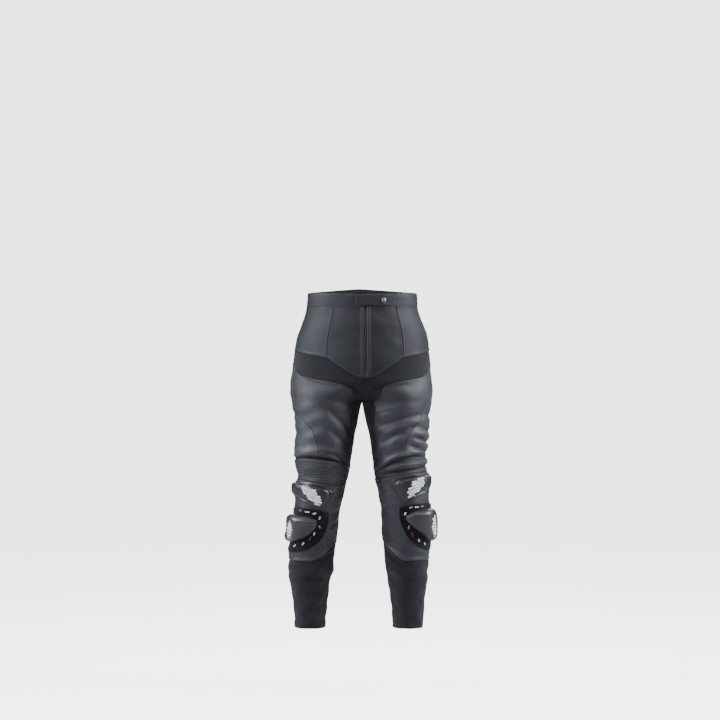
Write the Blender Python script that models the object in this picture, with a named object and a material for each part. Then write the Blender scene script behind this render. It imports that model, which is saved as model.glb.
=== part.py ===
# Leather motorcycle race pants, worn: hollow cloth walls round an empty trunk and two legs.
# Metres, +Z up. The front faces -Y and the wearer's left leg is at +X.
# The origin is the middle of the waist seam.
import math

import bmesh
import bpy
import numpy as np

LEATHER = 0.0020
STRETCH = 0.0016
SEAM_PULL = 0.00024
CENTRE_GAP = 0.0002
CROTCH_EASE = 0.0003
FLY_GAP = 0.0030
FLY_BOTTOM = -0.190
FLY_TAPER = 0.008
CROTCH = -0.260
CUFF = -0.893
BAND_HEIGHT = 0.036
BAND_THICK = 0.0028
BAND_LIFT = 0.0004
BAND_START = 0.012
TAPE_THICK = 0.0012
TAPE_DEPTH = 0.0028
TAPE_HALF = 0.014
TAPE_DROP = 0.001
RIB_HEIGHT = 0.0016
RIB_ROWS = 3
TRUNK_TURN = math.radians(4.6)
RIM_ORDER = np.array((0.2, 1.0, 0.5))

# Trunk sections: height z, half width on the wearer's right and left, front and back of the
# depth, and how far the front and back halves pinch in towards the two legs.
TRUNK = (
    (0.040, 0.152, 0.152, -0.117, 0.100, 0.00, 0.00),
    (0.000, 0.155, 0.155, -0.118, 0.105, 0.00, 0.00),
    (-0.053, 0.171, 0.174, -0.122, 0.123, 0.00, 0.00),
    (-0.081, 0.181, 0.184, -0.122, 0.134, 0.00, 0.00),
    (-0.120, 0.188, 0.189, -0.122, 0.142, 0.00, 0.01),
    (-0.160, 0.193, 0.192, -0.120, 0.144, 0.00, 0.06),
    (-0.185, 0.196, 0.194, -0.117, 0.142, 0.00, 0.15),
    (-0.200, 0.199, 0.196, -0.115, 0.139, 0.12, 0.25),
    (-0.215, 0.201, 0.198, -0.113, 0.135, 0.35, 0.41),
    (-0.232, 0.201, 0.199, -0.111, 0.129, 0.62, 0.64),
    (-0.250, 0.199, 0.198, -0.107, 0.119, 0.89, 0.89),
    (-0.260, 0.198, 0.196, -0.105, 0.112, 1.00, 1.00),
)

# Leg sections: height z, outer and inner distance from the middle plane, front and back.
RIGHT_LEG = (
    (-0.260, 0.198, 0.000, -0.105, 0.112),
    (-0.286, 0.193, 0.006, -0.108, 0.104),
    (-0.328, 0.187, 0.014, -0.108, 0.095),
    (-0.370, 0.188, 0.023, -0.105, 0.087),
    (-0.412, 0.189, 0.029, -0.100, 0.078),
    (-0.440, 0.186, 0.033, -0.096, 0.071),
    (-0.468, 0.180, 0.038, -0.091, 0.064),
    (-0.500, 0.185, 0.047, -0.093, 0.057),
    (-0.538, 0.187, 0.055, -0.091, 0.052),
    (-0.566, 0.189, 0.062, -0.085, 0.052),
    (-0.594, 0.190, 0.066, -0.076, 0.054),
    (-0.622, 0.192, 0.068, -0.067, 0.061),
    (-0.650, 0.198, 0.071, -0.061, 0.067),
    (-0.678, 0.206, 0.076, -0.057, 0.069),
    (-0.706, 0.205, 0.079, -0.054, 0.067),
    (-0.734, 0.207, 0.079, -0.052, 0.062),
    (-0.753, 0.206, 0.087, -0.050, 0.058),
    (-0.800, 0.196, 0.094, -0.044, 0.050),
    (-0.893, 0.187, 0.103, -0.038, 0.042),
)
LEFT_LEG = (
    (-0.260, 0.196, 0.000, -0.105, 0.112),
    (-0.286, 0.190, 0.004, -0.108, 0.104),
    (-0.328, 0.189, 0.013, -0.108, 0.095),
    (-0.370, 0.184, 0.023, -0.105, 0.087),
    (-0.412, 0.180, 0.029, -0.100, 0.078),
    (-0.454, 0.181, 0.033, -0.0945, 0.068),
    (-0.482, 0.185, 0.037, -0.0935, 0.061),
    (-0.510, 0.187, 0.044, -0.0925, 0.055),
    (-0.538, 0.188, 0.050, -0.090, 0.052),
    (-0.566, 0.189, 0.054, -0.084, 0.052),
    (-0.594, 0.189, 0.055, -0.075, 0.054),
    (-0.622, 0.190, 0.055, -0.066, 0.061),
    (-0.650, 0.191, 0.059, -0.061, 0.067),
    (-0.678, 0.190, 0.061, -0.057, 0.069),
    (-0.706, 0.187, 0.063, -0.054, 0.067),
    (-0.734, 0.184, 0.068, -0.052, 0.062),
    (-0.753, 0.185, 0.070, -0.050, 0.058),
    (-0.800, 0.178, 0.078, -0.044, 0.050),
    (-0.893, 0.170, 0.086, -0.038, 0.042),
)

# Lines across the body: where round the ring (0 centre front or inseam, 0.5 outer side,
# 1 centre back or inseam) and height z.
WAIST_LINE = ((0.0, 0.000), (0.5, 0.006), (1.0, 0.022))
V_LINE = (
    (0.00, -0.195), (0.03, -0.194), (0.06, -0.185), (0.10, -0.171), (0.15, -0.153),
    (0.185, -0.140), (0.30, -0.131), (0.45, -0.122), (0.55, -0.120), (0.75, -0.135), (1.0, -0.150),
)
LEG_LINE = (
    (0.00, -0.260), (0.03, -0.250), (0.06, -0.232), (0.10, -0.217), (0.15, -0.207),
    (0.20, -0.202), (0.33, -0.190), (0.42, -0.172), (0.52, -0.152), (0.62, -0.165),
    (0.75, -0.205), (0.88, -0.243), (1.00, -0.260),
)
RIGHT_LINES = (
    WAIST_LINE, V_LINE, LEG_LINE,
    (
        (0.0, -0.452), (0.09, -0.442), (0.15, -0.427), (0.23, -0.418), (0.31, -0.414),
        (0.55, -0.420), (1.0, -0.430),
    ),
    (
        (0.0, -0.485), (0.15, -0.494), (0.22, -0.487), (0.34, -0.4795), (0.45, -0.4755),
        (0.55, -0.4755), (1.0, -0.480),
    ),
    ((0.0, -0.560), (0.25, -0.572), (0.55, -0.575), (1.0, -0.560)),
    ((0.0, -0.655), (0.10, -0.667), (0.17, -0.689), (0.256, -0.704), (0.55, -0.703), (1.0, -0.655)),
    ((0.0, CUFF), (1.0, CUFF)),
)
LEFT_LINES = (
    WAIST_LINE, V_LINE, LEG_LINE,
    (
        (0.0, -0.452), (0.10, -0.447), (0.14, -0.438), (0.185, -0.424), (0.23, -0.414),
        (0.30, -0.410), (0.55, -0.418), (1.0, -0.426),
    ),
    ((0.0, -0.474), (0.17, -0.470), (0.25, -0.461), (0.33, -0.457), (0.55, -0.455), (1.0, -0.466)),
    ((0.0, -0.545), (0.25, -0.556), (0.55, -0.560), (1.0, -0.545)),
    ((0.0, -0.650), (0.10, -0.665), (0.165, -0.686), (0.235, -0.702), (0.55, -0.703), (1.0, -0.650)),
    ((0.0, CUFF), (1.0, CUFF)),
)
ROWS = (8, 5, 10, 10, 6, 6, 7)

# Seams down the body: height z and where round the ring.
INSEAM = ((0.04, 0.0), (-0.27, 0.0), (-0.33, -0.03), (-0.40, -0.08), (-0.90, -0.08))
INNER_SEAM = (
    (0.04, 0.07), (-0.20, 0.08), (-0.26, 0.14), (-0.33, 0.10), (-0.386, 0.0), (-0.42, -0.03),
    (-0.90, -0.03),
)
DART_SEAM = (
    (0.04, 0.182), (-0.06, 0.188), (-0.14, 0.185), (-0.26, 0.22), (-0.40, 0.12), (-0.90, 0.12),
)
THIGH_SEAM = (
    (0.04, 0.36), (-0.12, 0.36), (-0.19, 0.44), (-0.26, 0.42), (-0.316, 0.36), (-0.344, 0.31),
    (-0.40, 0.273), (-0.90, 0.273),
)
SIDE_SEAM = ((0.04, 0.52), (-0.90, 0.53))
BACK_SEAM = ((0.04, 0.76), (-0.26, 0.78), (-0.42, 0.80), (-0.90, 0.80))
BACK_INSEAM = ((0.04, 1.0), (-0.27, 1.0), (-0.33, 0.97), (-0.40, 0.92), (-0.90, 0.92))
SEAMS = (INSEAM, INNER_SEAM, DART_SEAM, THIGH_SEAM, SIDE_SEAM, BACK_SEAM, BACK_INSEAM)
COLUMNS = (3, 3, 4, 4, 5, 4)

# Folds: ring place and height of both ends, how far the middle bows up, half width, depth
# (out is positive), and the lip raised beside it, above where positive.
RIGHT_FOLDS = (
    (0.14, -0.204, 0.02, -0.232, 0.003, 0.008, -0.0030, 0.0),
    (0.305, -0.210, 0.115, -0.218, 0.000, 0.010, -0.0028, 0.3),
    (0.275, -0.267, 0.09, -0.343, 0.000, 0.010, -0.0038, -0.5),
    (0.24, -0.331, 0.10, -0.381, 0.000, 0.009, -0.0034, -0.5),
    (0.40, -0.295, 0.54, -0.294, 0.000, 0.007, -0.0040, -0.3),
    (0.41, -0.349, 0.55, -0.348, 0.000, 0.009, -0.0018, 0.3),
    (0.47, -0.407, 0.20, -0.396, 0.003, 0.010, 0.0036, 0.0),
    (0.52, -0.422, 0.13, -0.429, 0.012, 0.005, -0.0050, 0.0),
    (0.23, -0.401, 0.09, -0.435, 0.006, 0.005, -0.0038, 0.4),
    (0.56, -0.466, 0.43, -0.465, 0.000, 0.007, -0.0024, 0.0),
    (0.19, -0.576, 0.04, -0.566, 0.000, 0.009, -0.0020, 0.6),
    (0.20, -0.701, 0.04, -0.681, 0.000, 0.008, -0.0028, 0.7),
    (0.01, -0.728, 0.235, -0.730, 0.000, 0.010, 0.0030, 0.0),
    (0.375, -0.738, 0.56, -0.738, 0.000, 0.008, -0.0026, 0.4),
    (0.54, -0.238, 0.74, -0.262, -0.004, 0.010, -0.0030, -0.5),
    (0.60, -0.300, 0.86, -0.276, -0.004, 0.010, -0.0030, -0.5),
    (0.56, -0.372, 0.80, -0.350, 0.004, 0.011, -0.0024, -0.5),
    (0.60, -0.446, 0.90, -0.440, -0.006, 0.008, -0.0044, -0.6),
    (0.64, -0.482, 0.86, -0.476, 0.006, 0.008, -0.0040, -0.6),
    (0.62, -0.520, 0.84, -0.526, 0.004, 0.009, -0.0034, -0.5),
    (0.60, -0.064, 0.90, -0.078, -0.006, 0.010, -0.0024, -0.4),
    (0.58, -0.640, 0.82, -0.655, 0.000, 0.014, -0.0022, 0.4),
    (0.60, -0.735, 0.88, -0.728, 0.004, 0.010, -0.0028, 0.5),
)
LEFT_FOLDS = (
    (0.195, -0.191, 0.02, -0.232, -0.002, 0.008, -0.0030, 0.0),
    (0.105, -0.219, 0.285, -0.213, 0.000, 0.010, -0.0032, 0.3),
    (0.16, -0.277, 0.255, -0.260, 0.000, 0.009, -0.0020, 0.3),
    (0.16, -0.329, 0.41, -0.293, 0.003, 0.009, -0.0040, -0.5),
    (0.16, -0.374, 0.39, -0.323, 0.009, 0.008, -0.0040, -0.6),
    (0.42, -0.298, 0.56, -0.304, 0.000, 0.008, -0.0030, 0.3),
    (0.375, -0.335, 0.55, -0.346, 0.000, 0.006, -0.0030, 0.0),
    (0.355, -0.346, 0.55, -0.368, 0.002, 0.007, 0.0040, 0.0),
    (0.33, -0.358, 0.55, -0.382, 0.002, 0.006, -0.0040, 0.0),
    (0.345, -0.370, 0.55, -0.397, 0.002, 0.007, 0.0044, 0.0),
    (0.32, -0.383, 0.55, -0.411, 0.002, 0.006, -0.0042, 0.0),
    (0.13, -0.437, 0.47, -0.404, 0.019, 0.008, 0.0036, 0.0),
    (0.12, -0.448, 0.52, -0.416, 0.020, 0.005, -0.0054, 0.0),
    (0.145, -0.449, 0.52, -0.430, 0.008, 0.006, 0.0034, 0.0),
    (0.13, -0.460, 0.52, -0.440, 0.002, 0.0045, -0.0052, 0.0),
    (0.135, -0.465, 0.03, -0.498, 0.000, 0.007, -0.0024, 0.5),
    (0.22, -0.710, 0.03, -0.663, -0.004, 0.008, -0.0028, 0.6),
    (0.015, -0.728, 0.22, -0.734, 0.000, 0.012, 0.0022, 0.0),
    (0.395, -0.734, 0.54, -0.742, 0.000, 0.008, -0.0020, 0.4),
    (0.54, -0.244, 0.76, -0.258, -0.004, 0.010, -0.0030, -0.5),
    (0.58, -0.284, 0.84, -0.298, 0.004, 0.010, -0.0028, -0.5),
    (0.62, -0.346, 0.86, -0.368, -0.004, 0.011, -0.0024, -0.5),
    (0.60, -0.436, 0.88, -0.448, -0.006, 0.008, -0.0044, -0.6),
    (0.63, -0.470, 0.90, -0.478, 0.006, 0.008, -0.0040, -0.6),
    (0.61, -0.512, 0.82, -0.516, -0.004, 0.009, -0.0034, -0.5),
    (0.62, -0.058, 0.88, -0.066, -0.006, 0.010, -0.0022, -0.4),
    (0.60, -0.656, 0.84, -0.646, 0.000, 0.014, -0.0022, 0.4),
    (0.58, -0.730, 0.86, -0.736, 0.004, 0.010, -0.0028, 0.5),
)
FOLD_RING = 0.45
FOLD_END = 1.05

# Outlines of the pieces laid on the skin: ring place, height of the upper edge, of the lower.
KNEE_CUPS = {
    "right": (
        (0.145, -0.499, -0.527), (0.22, -0.491, -0.556), (0.34, -0.483, -0.538),
        (0.55, -0.480, -0.518),
    ),
    "left": (
        (0.170, -0.475, -0.518), (0.25, -0.465, -0.538), (0.33, -0.461, -0.523),
        (0.52, -0.460, -0.498),
    ),
}
PATCHES = {
    "right": (
        (0.155, -0.558, -0.600), (0.20, -0.560, -0.644), (0.30, -0.556, -0.674),
        (0.42, -0.552, -0.680), (0.525, -0.553, -0.672),
    ),
    "left": (
        (0.205, -0.543, -0.590), (0.256, -0.544, -0.637), (0.334, -0.542, -0.663),
        (0.43, -0.541, -0.675), (0.525, -0.542, -0.668),
    ),
}
SLIDERS = {
    "right": (
        (0.242, -0.583, -0.606), (0.304, -0.577, -0.636), (0.36, -0.574, -0.647),
        (0.42, -0.573, -0.655), (0.54, -0.576, -0.656),
    ),
    "left": (
        (0.248, -0.572, -0.586), (0.316, -0.560, -0.614), (0.39, -0.557, -0.642),
        (0.43, -0.556, -0.650), (0.54, -0.560, -0.652),
    ),
}
TAB = ((-0.055, 0.034, 0.003), (0.155, 0.034, 0.003))

# Forms of those pieces: points along and up, outline power (2 round, higher squarer), gap to
# the skin, edge thickness, height of the dome.
CUP_FORM = (13, 8, 4.5, 0.00105, 0.003, 0.012)
PATCH_FORM = (12, 9, 4.5, 0.0011, 0.0014, 0.0)
SLIDER_FORM = (12, 8, 6.0, 0.0032, 0.004, 0.0175)
TAB_FORM = (9, 4, 5.0, 0.0010, 0.0022, 0.0)
SNAP_PLACE = (0.105, 0.0185)
SNAP_RADIUS = 0.0075
SNAP_THICK = 0.003
SNAP_GAP = 0.0006

BLUE_BLACK = (0.035, 0.038, 0.046)
RIB_GREY = (0.050, 0.053, 0.062)
TEXTILE = (0.016, 0.015, 0.020)
DEEP_BLACK = (0.008, 0.008, 0.009)
HARD_GREY = (0.070, 0.072, 0.078)
METAL = (0.30, 0.30, 0.31)

SIDES = {"right": -1, "left": 1}
LEGS = {"right": RIGHT_LEG, "left": LEFT_LEG}
LINES = {"right": RIGHT_LINES, "left": LEFT_LINES}
FOLDS = {"right": RIGHT_FOLDS, "left": LEFT_FOLDS}


def smooth(x, table, column):
    """A smooth curve through a table's column, flat-ended, by cubic steps with limited slopes."""
    xs = np.array([row[0] for row in table])
    ys = np.array([row[column] for row in table])
    if xs[0] > xs[-1]:
        xs, ys = xs[::-1], ys[::-1]
    steps = np.diff(ys) / np.diff(xs)
    slopes = np.zeros(len(xs))
    same = steps[1:] * steps[:-1] > 0
    slopes[1:-1][same] = 2 * steps[1:][same] * steps[:-1][same] / (steps[1:] + steps[:-1])[same]
    slopes[0], slopes[-1] = steps[0], steps[-1]
    x = np.clip(x, xs[0], xs[-1])
    i = np.clip(np.searchsorted(xs, x, side="right") - 1, 0, len(xs) - 2)
    h = xs[i + 1] - xs[i]
    t = (x - xs[i]) / h
    low = (1 + 2 * t) * (1 - t) ** 2 * ys[i] + t * (1 - t) ** 2 * h * slopes[i]
    high = t * t * (3 - 2 * t) * ys[i + 1] + t * t * (t - 1) * h * slopes[i + 1]
    return low + high


def ease(x):
    x = np.clip(x, 0, 1)
    return x * x * (3 - 2 * x)


def fold_height(side, s, z):
    """Sum of the folds: each a soft trough or ridge along a bowed line, with tapering ends."""
    total = np.zeros(np.broadcast(s, z).shape)
    for s0, z0, s1, z1, bow, width, depth, lip in FOLDS[side]:
        run, rise = (s1 - s0) * FOLD_RING, z1 - z0
        length = math.hypot(run, rise)
        along = (np.mod(s - s0 + 0.5, 1.0) - 0.5) * FOLD_RING
        up = z - z0
        share = (along * run + up * rise) / length**2
        span = np.clip(share, 0, 1)
        across = (up * run - along * rise) / length * math.copysign(1, run)
        across = (across - 4 * bow * span * (1 - span)) / width
        beside = (across - math.copysign(2, lip)) / 1.4
        shape = np.exp(-across**2) - abs(lip) * np.exp(-beside**2)
        total = total + depth * shape * np.exp(-(((2 * share - 1) / FOLD_END) ** 4))
    return total


def surface(side, s, z, raised=0.0):
    """Outer skin of one side: a half ellipse in front and one behind, pinched at the middle."""
    turned = np.where(s > 1, s - 1, np.where(s < 0, s + 1, s))
    front = turned < 0.5
    high = z > CROTCH
    trunk_column = 1 if side == "right" else 2
    width = np.where(high, smooth(z, TRUNK, trunk_column), smooth(z, LEGS[side], 1))
    inner = np.where(high, 0.0, smooth(z, LEGS[side], 2))
    near = np.where(high, smooth(z, TRUNK, 3), smooth(z, LEGS[side], 3))
    far = np.where(high, smooth(z, TRUNK, 4), smooth(z, LEGS[side], 4))
    pinch = np.where(front, smooth(z, TRUNK, 5), smooth(z, TRUNK, 6))
    pinch = np.where(high, np.clip(pinch, 0, 1), 1.0)
    radius = np.where(high, width / (1 + pinch), (width - inner) / 2)
    centre = np.where(high, width - radius, (width + inner) / 2)
    reach = np.where(high, math.pi - np.arccos(pinch), math.pi)
    angle = np.where(front, (1 - 2 * turned), (2 * turned - 1)) * reach
    depth = (far - near) / 2
    facing = np.where(front, -1.0, 1.0)
    x = centre + radius * np.cos(angle)
    y = (near + far) / 2 + facing * depth * np.sin(angle)
    nx = np.cos(angle) / radius
    ny = facing * np.sin(angle) / depth
    size = np.hypot(nx, ny)
    out = raised + fold_height(side, turned, z) * ease(x / 0.03)
    x = np.maximum(x + out * nx / size, CENTRE_GAP)
    y = y + out * ny / size
    turn = math.tan(TRUNK_TURN) * ease((z + 0.300) / 0.100)
    return np.stack([SIDES[side] * x - turn * y, y, z + 0 * x], axis=-1)


def ladder(parts):
    """Positions from 0 to the number of blocks, each block cut into its own number of steps."""
    return np.concatenate([[0.0]] + [i + np.arange(1, n + 1) / n for i, n in enumerate(parts)])


def grid_places(side, row_at, column_at):
    """Ring place and height of every crossing of the rows and columns asked for."""
    lines = LINES[side]
    s = np.zeros((len(row_at), len(column_at)))
    z = np.zeros_like(s)
    block = np.clip(np.floor(row_at).astype(int), 0, len(lines) - 2)
    seam = np.clip(np.floor(column_at).astype(int), 0, len(SEAMS) - 2)
    for _ in range(25):
        levels = np.array([smooth(np.clip(s, 0, 1), line, 1) for line in lines])
        for i, k in enumerate(block):
            share = row_at[i] - k
            z[i] = (1 - share) * levels[k][i] + share * levels[k + 1][i]
        seams = np.array([smooth(z, line, 1) for line in SEAMS])
        for j, k in enumerate(seam):
            share = column_at[j] - k
            s[:, j] = (1 - share) * seams[k][:, j] + share * seams[k + 1][:, j]
    return s, z


def normals_of(side, s, z):
    """Outward unit normals from small steps along the ring and down the body."""
    step_s, step_z = 0.004, 0.002
    low = z <= CROTCH
    lap = np.where(s > 1, 1.0, 0.0)
    before = np.where(low, s - step_s, np.clip(s - step_s, lap, lap + 1))
    after = np.where(low, s + step_s, np.clip(s + step_s, lap, lap + 1))
    above = np.where(low, np.minimum(z + step_z, CROTCH - 1e-6), z + step_z)
    below = np.where(low, z - step_z, np.maximum(z - step_z, CROTCH + 1e-6))
    round_way = surface(side, after, z) - surface(side, before, z)
    down_way = surface(side, s, below) - surface(side, s, above)
    normal = np.cross(round_way, down_way) * -SIDES[side]
    length = np.linalg.norm(normal, axis=-1, keepdims=True)
    return normal / np.maximum(length, 1e-12)


def skin_of(side, s, z):
    """Skin points and normals of a piece that may pass the centre front on the trunk."""
    other = "left" if side == "right" else "right"
    past = ((s < 0) & (z > CROTCH))[..., None]
    skin = np.where(past, surface(other, np.abs(s), z), surface(side, s, z))
    normal = np.where(past, normals_of(other, np.abs(s), z), normals_of(side, s, z))
    return skin, normal


def pulled(points, amount):
    """The grid with its border moved in by the seam allowance, along its own rows and columns."""
    moved = points.copy()
    for line, inner, axis in ((0, 1, 0), (-1, -2, 0), (0, 1, 1), (-1, -2, 1)):
        edge = np.take(points, line, axis=axis)
        way = np.take(points, inner, axis=axis) - edge
        way = way / np.linalg.norm(way, axis=-1, keepdims=True) * amount
        if axis == 0:
            moved[line] += way
        else:
            moved[:, line] += way
    return moved


def material(name, colour, roughness, metallic):
    made = bpy.data.materials.new(name)
    made.use_nodes = True
    shader = made.node_tree.nodes["Principled BSDF"]
    shader.inputs["Base Color"].default_value = (*colour, 1.0)
    shader.inputs["Roughness"].default_value = roughness
    shader.inputs["Metallic"].default_value = metallic
    return made


def add_object(name, verts, faces, colour, roughness=0.6, metallic=0.0):
    mesh = bpy.data.meshes.new(name)
    mesh.from_pydata([tuple(v) for v in verts], [], faces)
    bm = bmesh.new()
    bm.from_mesh(mesh)
    bmesh.ops.recalc_face_normals(bm, faces=bm.faces)
    bm.to_mesh(mesh)
    bm.free()
    mesh.shade_smooth()
    mesh.set_sharp_from_angle(angle=math.radians(40))
    mesh.materials.append(material(name, colour, roughness, metallic))
    made = bpy.data.objects.new(name, mesh)
    bpy.data.collections["leather_motorcycle_pants"].objects.link(made)
    return made


def wall(name, outer, inner, colour, roughness=0.6):
    """A closed wall between two grids of points that match cell for cell."""
    rows, cols = outer.shape[:2]
    index = np.arange(rows * cols).reshape(rows, cols)
    back = index + rows * cols
    faces = []
    for i in range(rows - 1):
        for j in range(cols - 1):
            faces.append((index[i, j], index[i, j + 1], index[i + 1, j + 1], index[i + 1, j]))
            faces.append((back[i, j], back[i + 1, j], back[i + 1, j + 1], back[i, j + 1]))
    verts = np.concatenate([outer.reshape(-1, 3), inner.reshape(-1, 3)])
    rim = list(index[0]) + list(index[1:, -1]) + list(index[-1, -2::-1]) + list(index[-2:0:-1, 0])
    order = verts @ RIM_ORDER
    for k, a in enumerate(rim):
        b = rim[(k + 1) % len(rim)]
        # Both pieces at a seam split their rim the same way, so that twisted rims don't cross.
        if order[a] < order[b]:
            a, b = b, a
        faces.append((a, a + rows * cols, b + rows * cols))
        faces.append((a, b + rows * cols, b))
    return add_object(name, verts, [tuple(int(v) for v in f) for f in faces], colour, roughness)


def panel(name, side, rows, columns, thickness, colour, ribs=False, fly=False):
    """One cut piece: the cells between two row lines and two seams. Columns may pass the inseam."""
    row_at = ladder(ROWS)
    if ribs:
        row_at = ladder([n * (RIB_ROWS if i == rows[0] else 1) for i, n in enumerate(ROWS)])
    row_at = row_at[(row_at >= rows[0] - 1e-9) & (row_at <= rows[1] + 1e-9)]
    full = ladder(COLUMNS)
    column_at = full[(full >= columns[0] - 1e-9) & (full <= min(columns[1], len(COLUMNS)) + 1e-9)]
    s, z = grid_places(side, row_at, column_at)
    if columns[1] > len(COLUMNS):
        past = full[(full > 0) & (full <= columns[1] - len(COLUMNS) + 1e-9)]
        s2, z2 = grid_places(side, row_at, past)
        s, z = np.hstack([s, s2 + 1.0]), np.hstack([z, z2])
    ridge = np.zeros_like(s)
    if ribs:
        step = np.arange(len(row_at)) % RIB_ROWS > 0
        across = np.ones(len(column_at))
        across[[0, -1]] = 0.0
        ridge = RIB_HEIGHT * step[:, None] * across[None, :]
    normal = normals_of(side, s, z)
    plain = surface(side, s, z)
    outer = pulled(plain, SEAM_PULL) + normal * ridge[..., None]
    inner = pulled(plain, SEAM_PULL) - normal * thickness
    if rows[0] == 2:
        ease_down = CROTCH_EASE * np.exp(-((plain[0, :, 0] / 0.03) ** 2))
        outer[0, :, 2] -= ease_down
        inner[0, :, 2] -= ease_down
    if fly:
        open_up = FLY_GAP * ease((z[:, 0] - FLY_BOTTOM) / FLY_TAPER)
        for grid in (outer, inner):
            grid[:, 0, 0] += SIDES[side] * open_up
    return wall(f"{name}_{side}", outer, inner, colour)


def waistband():
    """One strip from the wearer's right front end, round the back, to the left front end."""
    s = np.linspace(BAND_START, 1.0, 25)
    foot = smooth(s, WAIST_LINE, 1) + 2 * SEAM_PULL
    outer, inner = [], []
    for share in (0.0, 0.5, 1.0):
        z = foot + share * BAND_HEIGHT
        rows = []
        for side in ("right", "left"):
            normal = normals_of(side, s, z)
            skin = surface(side, s, z)
            rows.append((skin + normal * BAND_LIFT, skin + normal * (BAND_LIFT - BAND_THICK)))
        for grid, k in ((outer, 0), (inner, 1)):
            right, left = rows[0][k], rows[1][k][::-1]
            middle = (right[-1:] + left[:1]) / 2
            grid.append(np.concatenate([right[:-1], middle, left[1:]]))
    wall("waistband", np.array(outer), np.array(inner), BLUE_BLACK)


def zip_tape():
    """The fly's tape, behind the two front panels, from points of the panels moved in."""
    lines = ladder(ROWS)
    row_at = lines[lines <= 1.0 + 1e-9]
    strips = []
    for side in ("right", "left"):
        _, z = grid_places(side, row_at, np.array([0.0]))
        z[0] -= TAPE_DROP
        half_ring = smooth(z, TRUNK, 1 if side == "right" else 2) * math.pi
        s = np.linspace(1, 0, 4)[None, :] * TAPE_HALF / half_ring
        s, z = np.broadcast_arrays(s, z)
        strips.append((surface(side, s, z), normals_of(side, s, z)))
    skin = [np.concatenate([strips[0][k][:, :-1], strips[1][k][:, ::-1]], axis=1) for k in (0, 1)]
    outer = skin[0] - skin[1] * TAPE_DEPTH
    inner = skin[0] - skin[1] * (TAPE_DEPTH + TAPE_THICK)
    wall("zip", outer, inner, DEEP_BLACK, 0.8)


def overlay(name, side, outline, form, colour, roughness, shape=None):
    """A piece lying on the skin inside a rounded outline, its top domed."""
    along, up, power, gap, edge, dome = form
    u, v = np.meshgrid(np.linspace(-1, 1, along), np.linspace(-1, 1, up))
    square = np.maximum(np.abs(u), np.abs(v))
    size = (np.abs(u) ** power + np.abs(v) ** power) ** (1 / power)
    scale = square / np.maximum(size, 1e-9)
    u, v = u * scale, v * scale
    s = outline[0][0] + (outline[-1][0] - outline[0][0]) * (u + 1) / 2
    upper, lower = smooth(s, outline, 1), smooth(s, outline, 2)
    z = lower + (upper - lower) * (v + 1) / 2
    skin, normal = skin_of(side, s, z)
    rise = (1 - square**2) ** 0.5 if shape is None else shape(u, square)
    outer = skin + normal * (gap + edge + dome * rise)[..., None]
    inner = skin + normal * gap
    return wall(name, outer, inner, colour, roughness)


def slider_shape(u, square):
    """A wedge that rises from its thin inner end to a flat outer face."""
    return (1 - square**7) * (0.30 + 0.70 * ease((u + 1.0) / 1.25))


def clear_scene():
    for item in list(bpy.data.objects):
        bpy.data.objects.remove(item, do_unlink=True)
    holder = bpy.data.collections.new("leather_motorcycle_pants")
    bpy.context.scene.collection.children.link(holder)


def snap():
    """The press button on the waistband's tab, a turned disc."""
    place, height = SNAP_PLACE
    base = TAB_FORM[3] + TAB_FORM[4] + SNAP_GAP
    spot, away = (f("left", np.array([place]), np.array([height]))[0] for f in (surface, normals_of))
    start = spot + away * base
    side_way = np.cross(away, (0, 0, 1))
    side_way /= np.linalg.norm(side_way)
    up_way = np.cross(side_way, away)
    turn = np.linspace(0, 2 * math.pi, 20, endpoint=False)
    verts, faces = [], []
    for out, radius in ((0, 1.0), (0.6, 1.0), (1.0, 0.8)):
        for a in turn:
            flat = (math.cos(a) * side_way + math.sin(a) * up_way) * radius * SNAP_RADIUS
            verts.append(start + away * out * SNAP_THICK + flat)
    n = len(turn)
    for ring in (0, n):
        for k in range(n):
            after = (k + 1) % n
            faces.append((ring + k, ring + after, ring + n + after, ring + n + k))
    faces += [tuple(range(n)), tuple(range(2 * n, 3 * n))]
    add_object("snap", verts, faces, METAL, 0.35, 1.0)


def one_side(side):
    panel("front", side, (0, 1), (0, 2), LEATHER, BLUE_BLACK, fly=True)
    panel("hip", side, (0, 1), (2, 4), LEATHER, BLUE_BLACK)
    panel("seat", side, (0, 2), (4, 6), LEATHER, BLUE_BLACK)
    panel("groin", side, (1, 2), (0, 4), STRETCH, TEXTILE)
    panel("inner_thigh", side, (2, 4), (5, 7), STRETCH, TEXTILE)
    panel("thigh", side, (2, 3), (1, 3), LEATHER, BLUE_BLACK)
    panel("side", side, (2, 3), (3, 4), LEATHER, BLUE_BLACK)
    panel("back_thigh", side, (2, 4), (4, 5), LEATHER, BLUE_BLACK)
    panel("accordion", side, (3, 4), (1, 4), LEATHER, RIB_GREY, ribs=True)
    panel("shin", side, (4, 6), (1, 4), LEATHER, BLUE_BLACK)
    panel("calf", side, (4, 7), (4, 7), STRETCH, TEXTILE)
    panel("ankle", side, (6, 7), (1, 4), STRETCH, TEXTILE)
    overlay(f"knee_cup_{side}", side, KNEE_CUPS[side], CUP_FORM, BLUE_BLACK, 0.4)
    overlay(f"loop_patch_{side}", side, PATCHES[side], PATCH_FORM, DEEP_BLACK, 0.95)
    overlay(f"slider_{side}", side, SLIDERS[side], SLIDER_FORM, HARD_GREY, 0.4, slider_shape)


def main():
    clear_scene()
    waistband()
    zip_tape()
    overlay("waist_tab", "left", TAB, TAB_FORM, BLUE_BLACK, 0.6)
    snap()
    for side in SIDES:
        one_side(side)


main()
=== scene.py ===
# Leather motorcycle race pants, worn and hollow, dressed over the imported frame.
# Metres. The front faces -Y, the wearer's left leg is at +X, and the origin is the middle
# of the waist seam. s runs round a ring: 0 centre front or inseam, 0.5 outer side, 1 centre back.
import math

import bmesh
import bpy
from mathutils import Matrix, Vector
import numpy as np


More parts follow.
